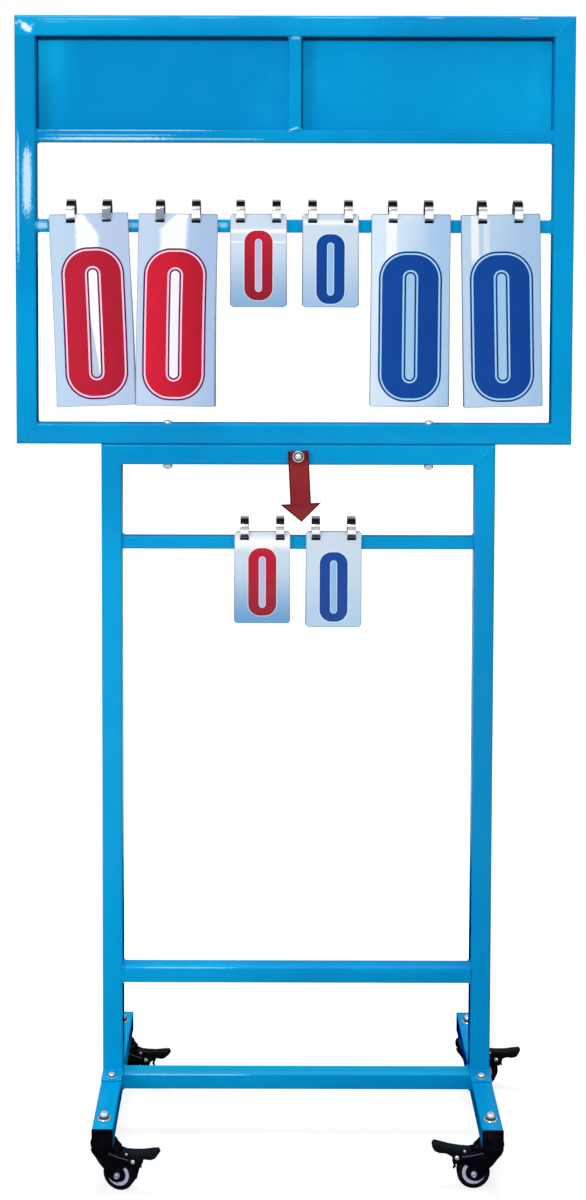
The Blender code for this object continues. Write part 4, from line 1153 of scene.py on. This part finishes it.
def dome_profile(radius, base, height, rings=5):
    steps = [math.pi / 2 * i / rings for i in range(rings + 1)]
    return [(radius * math.cos(a), base + height * math.sin(a)) for a in steps]


PLATE_BOLT_REACH = 0.0385


def plate_bolts():
    """Domed bolts with washers that hold the stand's base plates on the feet."""
    washer = 0.0078
    head = 0.0056
    bolt = [(0.0, -0.003), (0.003, -0.003), (0.003, 0.0), (washer, 0.0), (washer, 0.0010)]
    bolt += [(head * 0.9, 0.0010), *dome_profile(head, 0.0022, 0.0044, 8)]
    # Painted shadow: a dark seat round each bolt under its dome
    seat = [(0.0, 0.0), (0.0067, 0.0), (0.0067, 0.0018), (0.0061, 0.0024), (0.0, 0.0024)]
    for profile, name, material in ((bolt, "bolts", bolt_zinc), (seat, "shadow_seats", painted_shade_zinc)):
        shapes = []
        for node, _ in POSTS:
            low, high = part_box(node)
            for y in (-PLATE_BOLT_REACH, PLATE_BOLT_REACH):
                shape = spun(profile, 24)
                move(shape, ((low.x + high.x) / 2, y, low.z + BASE_PLATE))
                shapes.append(shape)
        piece(merged(*shapes), f"base_plate_{name}", material, "root")


CORNERS = ("front_left", "front_right", "rear_left", "rear_right")


def hexagon(radius, low, high):
    shape = bmesh.new()
    bmesh.ops.create_cone(shape, cap_ends=True, segments=6, radius1=radius, radius2=radius, depth=high - low)
    bmesh.ops.translate(shape, vec=(0.0, 0.0, (low + high) / 2), verts=shape.verts)
    rounded(shape, "EDGES", radius * 0.09, 2)
    return shape


def plate(outline, near, far, edge, segments=2):
    """A bevelled plate of an (x, z) outline, from y = near to y = far."""
    shape = bmesh.new()
    face = shape.faces.new([shape.verts.new((x, near, z)) for x, z in outline])
    grown = bmesh.ops.extrude_face_region(shape, geom=[face])
    moved = [part for part in grown["geom"] if isinstance(part, bmesh.types.BMVert)]
    bmesh.ops.translate(shape, verts=moved, vec=(0.0, far - near, 0.0))
    bmesh.ops.recalc_face_normals(shape, faces=shape.faces)
    rounded(shape, "EDGES", edge, segments)
    return shape


TRAIL = 0.026
WHEEL_RADIUS = 0.025
CHEEK_FACE = 0.0119
RIVET_X = 0.0515
RIVET_Z = 0.0502
PIVOT = (0.052, 0.047)
CHEEK = (
    (-0.0180, 0.0600), (-0.0160, 0.0545), (-0.0100, 0.0480), (-0.0034, 0.0390), (0.0060, 0.0300),
    (0.0110, 0.0200), (0.0180, 0.0150), (0.0260, 0.0140), (0.0320, 0.0180), (0.0335, 0.0270),
    (0.0345, 0.0365), (0.0400, 0.0400), (0.0500, 0.0395), (0.0575, 0.0405), (0.0590, 0.0470),
    (0.0550, 0.0530), (0.0470, 0.0545), (0.0300, 0.0585), (0.0150, 0.0610),
)
HOOD = (
    (-0.0165, 0.0600), (-0.0150, 0.0548), (-0.0090, 0.0515), (0.0240, 0.0525), (0.0270, 0.0560),
    (0.0245, 0.0635), (0.0170, 0.0700), (0.0060, 0.0705),
)
GUARD = (
    (0.0340, 0.0400), (0.0330, 0.0200), (0.0380, 0.0112), (0.0484, 0.0120), (0.0527, 0.0284),
    (0.0592, 0.0408), (0.0590, 0.0470), (0.0400, 0.0500),
)
GUARDED = "front_left"
COLLAR = (
    (0.0, 0.0550), (0.0150, 0.0550), (0.0182, 0.0585), (0.0204, 0.0625),
    (0.0212, 0.0665), (0.0208, 0.0695), (0.0190, 0.0717), (0.0, 0.0717),
)
FLUTE = (
    (-0.004, 0.0112), (-0.005, 0.0095), (0.010, 0.0118),
    (0.028, 0.0150), (0.028, 0.0165), (0.010, 0.0134),
)
AXLE_HEAD = (
    (0.0, 0.0), (0.0046, 0.0), (0.0046, 0.0012), (0.0037, 0.0014), (0.0037, 0.0046),
    (0.0030, 0.0054), (0.0019, 0.0054), (0.0016, 0.0038), (0.0, 0.0038),
)
FORK_RIVET = ((0.0, 0.0), *dome_profile(0.0034, 0.0004, 0.0019))
WHEEL_RING = (
    (0.0120, 0.0062), (0.0120, 0.0080), (0.0128, 0.0086),
    (0.0166, 0.0086), (0.0174, 0.0080), (0.0174, 0.0062),
)
SEAM = ((-0.012, 0.0588), (0.012, 0.0573), (0.030, 0.0530), (0.044, 0.0518))
PEDAL = (
    (-0.023, 0.0125), (-0.022, 0.0065), (-0.012, 0.0010), (-0.006, -0.0040), (0.003, -0.0045),
    (0.0075, 0.0030), (0.016, 0.0075), (0.026, 0.0080), (0.033, 0.0110), (0.037, 0.0175),
    (0.034, 0.0225), (0.023, 0.0200), (0.010, 0.0165), (-0.006, 0.0140),
)
HOOK = (
    (-0.0030, -0.0030), (0.0015, -0.0065), (0.0005, -0.0120), (0.0045, -0.0155), (0.0060, -0.0130),
    (0.0045, -0.0105), (0.0065, -0.0030),
)


def castor_place(corner):
    """The castor's own frame: x along its trail, y along its axle, and the stem's axis at x = 0."""
    across = Vector(joints[f"{corner}_wheel_roll"]["axis"])
    stem = Vector(joints[f"{corner}_swivel_turn"]["pos_m"])
    toward = Matrix.Rotation(math.atan2(-across.x, across.y), 4, "Z")
    return Matrix.Translation((stem.x, stem.y, 0.0)) @ toward


def castor_piece(shapes, kind, corner, place, material, body, finish_slot="castor_plastic", solid=None):
    """Joins shapes, drawn in the castor's own frame, into a piece of this castor."""
    shape = merged(*shapes)
    turn(shape, place)
    replaced = [f"{solid}_{corner}"] if solid else ()
    piece(shape, f"{kind}_{corner}", material, f"{corner}_{body}", replaced)


def castor_housing(corner):
    """Moulded fork: two cheeks, the hood and collar over the race, and the raised seam on each cheek, pale as
    a painted highlight.
    """
    place = castor_place(corner)
    shapes = []
    seams = []
    for side in (-1, 1):
        shapes.append(plate(CHEEK, side * 0.0101, side * 0.0120, 0.0006))
        band = [(x, z + 0.0007) for x, z in SEAM] + [(x, z - 0.0007) for x, z in reversed(SEAM)]
        seams.append(plate(band, side * 0.0112, side * 0.0126, 0.0003, 1))
    if corner == GUARDED:
        shapes.append(plate(GUARD, 0.0103, 0.0118, 0.0006))
    shapes.append(plate(HOOD, -0.0107, 0.0107, 0.0012, 3))
    shapes.append(spun(COLLAR, 40))
    castor_piece(seams, "castor_seams", corner, place, seam_highlight_plastic, "swivel")
    castor_piece(shapes, "castor_housing", corner, place, castor_plastic, "swivel", solid="castor_fork")


def castor_pedal(corner):
    """Brake pedal with a ribbed tread at its tip."""
    shapes = [plate(PEDAL, -0.0082, 0.0082, 0.0010, 3)]
    rivets = []
    for index in range(5):
        share = index / 4
        x = 0.0155 + share * 0.0150
        z = 0.0176 + share * 0.0040
        low, top = z - 0.001, z + 0.0009
        rib = [(x - 0.0007, low), (x + 0.0007, low), (x + 0.0005, top), (x - 0.0005, top)]
        shapes.append(plate(rib, -0.0070, 0.0070, 0.0002, 1))
    for side in (-1, 1):
        shapes.append(plate(FLUTE, side * 0.0076, side * 0.0086, 0.0003, 1))
        rivet = spun([(0.0, -0.0005), *dome_profile(0.0022, 0.0002, 0.0012)], 16)
        turn(rivet, Matrix.Translation((-0.0125, side * 0.0081, 0.0112)) @ OUTWARD[side])
        rivets.append(rivet)
    shapes.append(plate(HOOK, 0.0080, 0.0095, 0.0004, 1))
    place = castor_place(corner) @ Matrix.Translation((PIVOT[0], 0.0, PIVOT[1]))
    castor_piece(rivets, "pedal_rivets", corner, place, bolt_zinc, "pedal", "bolt_zinc")
    finish = (pedal_plastic, "pedal", "pedal_plastic")
    castor_piece(shapes, "castor_pedal", corner, place, *finish, "brake_pedal")


def castor_details(corner):
    """Axle bolt, fork rivets and the raised ring on each side of the wheel, its pale grey partly a painted
    highlight.
    """
    axles = []
    rivets = []
    rings = []
    for side in (-1, 1):
        plans = (
            (axles, spun(AXLE_HEAD, 24), (TRAIL, side * CHEEK_FACE, WHEEL_RADIUS)),
            (rivets, spun(FORK_RIVET, 24), (RIVET_X, side * CHEEK_FACE, RIVET_Z)),
            (rings, spun(WHEEL_RING, 40, closed=True), (TRAIL, 0.0, WHEEL_RADIUS)),
        )
        for shapes, shape, spot in plans:
            turn(shape, Matrix.Translation(spot) @ OUTWARD[side])
            shapes.append(shape)
    place = castor_place(corner)
    castor_piece(axles, "axle_bolts", corner, place, axle_zinc, "swivel", "bolt_zinc")
    castor_piece(rivets, "fork_rivets", corner, place, bolt_zinc, "swivel", "bolt_zinc")
    castor_piece(rings, "wheel_rings", corner, place, ring_highlight_plastic, "wheel", "wheel_rubber")


# Finishes of the CAD solids that stay
def dress_frame():
    plans = (
        ("possession_arrow", red_enamel),
        ("arrow_bolt", bolt_zinc),
        ("frame_bolt", bolt_zinc),
        ("castor_stem", bolt_zinc),
        ("castor_fork", castor_plastic),
        ("castor_wheel", tread_rubber),
        ("brake_pedal", pedal_plastic),
        ("foot_cap", cap_plastic),
    )
    for name, thing in frame["nodes"].items():
        material = ring_chrome if name.endswith("_rings") else blue_enamel
        for start, finish in plans:
            if name.startswith(start):
                material = finish
        for material_slot in thing.material_slots:
            material_slot.material = material


# Floor, light and camera
def floor():
    shape = bmesh.new()
    bmesh.ops.create_grid(shape, x_segments=1, y_segments=1, size=40.0)
    mesh = mesh_of(shape, "studio_floor")
    plane = placed("studio_floor", mesh)
    plane.location = (0.0, 0.0, -0.0005)
    material, graph, shader = new_finish("studio_floor")
    shader.inputs["Roughness"].default_value = 0.9
    shader.inputs["Specular IOR Level"].default_value = 0.1
    path = graph.add("ShaderNodeLightPath")
    place = object_place(graph)
    _, ahead, _ = graph.split(place)
    reach = graph.vector("LENGTH", place)
    below = graph.times(path.outputs["Is Glossy Ray"], graph.band(reach, 1.6, 0.9))
    grey, dark = (0.32, 0.32, 0.32, 1.0), (0.02, 0.02, 0.02, 1.0)
    graph.feed(shader.inputs["Base Color"], graph.mix(below, grey, dark))
    near = graph.band(reach, 0.9, 1.8, 0.03, 0.85)
    far = graph.band(reach, 5.0, 9.0, 0.0, -0.75)
    behind = graph.band(ahead, -0.3, 0.8, 0.0, -0.45)
    room = graph.plus(graph.plus(near, far), behind)
    mirrored = graph.times(path.outputs["Is Glossy Ray"], room)
    open_floor = graph.band(reach, 0.7, 2.2, 0.74, 1.0)
    seen = graph.most(path.outputs["Is Camera Ray"], path.outputs["Is Transmission Ray"])
    strength = graph.plus(graph.times(seen, open_floor), mirrored)
    glow = graph.add("ShaderNodeEmission", {"Color": (1.0, 1.0, 1.0, 1.0), "Strength": strength})
    both = graph.add("ShaderNodeAddShader", {0: shader.outputs[0], 1: glow.outputs[0]})
    end = material.node_tree.nodes["Material Output"]
    graph.feed(end.inputs["Surface"], both.outputs[0])
    mesh.materials.append(material)


def world():
    """White all round for the camera; softer light on the object, with a dark ceiling in reflections."""
    studio = bpy.data.worlds.new("studio")
    studio.use_nodes = True
    bpy.context.scene.world = studio
    graph = Graph(studio.node_tree)
    background = studio.node_tree.nodes["Background"]
    direction = graph.add("ShaderNodeTexCoord").outputs["Generated"]
    _, ahead, up = graph.split(direction)
    dusk = graph.band(up, 0.08, 0.20, 0.10, 1.0)
    behind = graph.times(graph.band(ahead, -0.1, 0.3), graph.band(up, 0.44, 0.54, 0.06, 1.0))
    room = graph.most(graph.times(dusk, graph.band(ahead, 0.3, -0.1)), behind)
    ledge = graph.band(graph.unsigned(graph.minus(up, 0.777)), 0.012, 0.03, 0.35, 1.0)
    room = graph.times(room, graph.most(ledge, behind))
    lean = math.radians(17)
    tilt = graph.vector("DOT_PRODUCT", direction, (0.0, math.sin(lean), math.cos(lean)))
    ceiling = graph.band(tilt, 0.82, 0.87, 1.0, 0.03)
    mirrored = graph.times(room, ceiling)
    path = graph.add("ShaderNodeLightPath")
    glossy = graph.most(path.outputs["Is Glossy Ray"], path.outputs["Is Transmission Ray"])
    level = graph.plus(graph.times(glossy, graph.minus(mirrored, 0.50)), 0.50)
    camera = path.outputs["Is Camera Ray"]
    level = graph.plus(graph.times(camera, graph.minus(1.0, level)), level)
    background.inputs["Color"].default_value = (1.0, 1.0, 1.0, 1.0)
    graph.feed(background.inputs["Strength"], level)


def softbox(name, place, aim, size, power, mirrored=False):
    lamp = bpy.data.lights.new(name, "AREA")
    lamp.shape = "RECTANGLE"
    lamp.size, lamp.size_y = size
    lamp.energy = power
    thing = placed(name, lamp)
    thing.location = place
    thing.rotation_euler = (Vector(aim) - Vector(place)).to_track_quat("-Z", "Y").to_euler()
    thing.visible_glossy = mirrored
    thing.visible_diffuse = not mirrored


def camera():
    spot = Vector((-0.0292, -3.011, 1.5026))
    pitch = math.radians(-3.5)
    roll = math.radians(0.15)
    ahead = Vector((0.0, math.cos(pitch), math.sin(pitch)))
    right = Vector((1.0, 0.0, 0.0))
    up = right.cross(ahead)
    side = math.cos(roll) * right + math.sin(roll) * up
    above = math.cos(roll) * up - math.sin(roll) * right
    lens = bpy.data.cameras.new("photo_view")
    lens.sensor_fit = "AUTO"
    lens.sensor_width = 36.0
    lens.lens = 57.83
    lens.shift_x = 0.0145
    lens.shift_y = -0.2407
    viewer = placed("photo_view", lens)
    viewer.matrix_world = Matrix.Translation(spot) @ Matrix((side, above, -ahead)).transposed().to_4x4()
    bpy.context.scene.camera = viewer


dress_frame()
big_cards()
small_cards()
arrow_plate()
tubes()
header_sheet()
ring_pairs()
board_welds()
stand_welds()
plate_bolts()
stem_nuts()
arrow_fastener()
for corner in CORNERS:
    castor_housing(corner)
    castor_pedal(corner)
    castor_details(corner)
floor()
world()
softbox("key_light", (-0.45, -4.0, 2.7), (0.0, 0.0, 1.2), (0.7, 0.4), 68.0)
softbox("sheen_light", (-1.3, -4.0, 4.7), (0.0, 0.0, 1.2), (1.3, 0.9), 150.0, True)
softbox("top_light", (0.0, 0.2, 6.0), (0.0, 0.0, 0.9), (2.4, 1.4), 190.0)
softbox("right_light", (3.0, -2.8, 2.0), (0.0, 0.0, 1.3), (1.4, 1.8), 18.0)
softbox("left_light", (-3.0, -2.8, 2.0), (0.0, 0.0, 1.3), (1.4, 1.8), 50.0)
camera()
bpy.context.scene.view_settings.view_transform = "Standard"
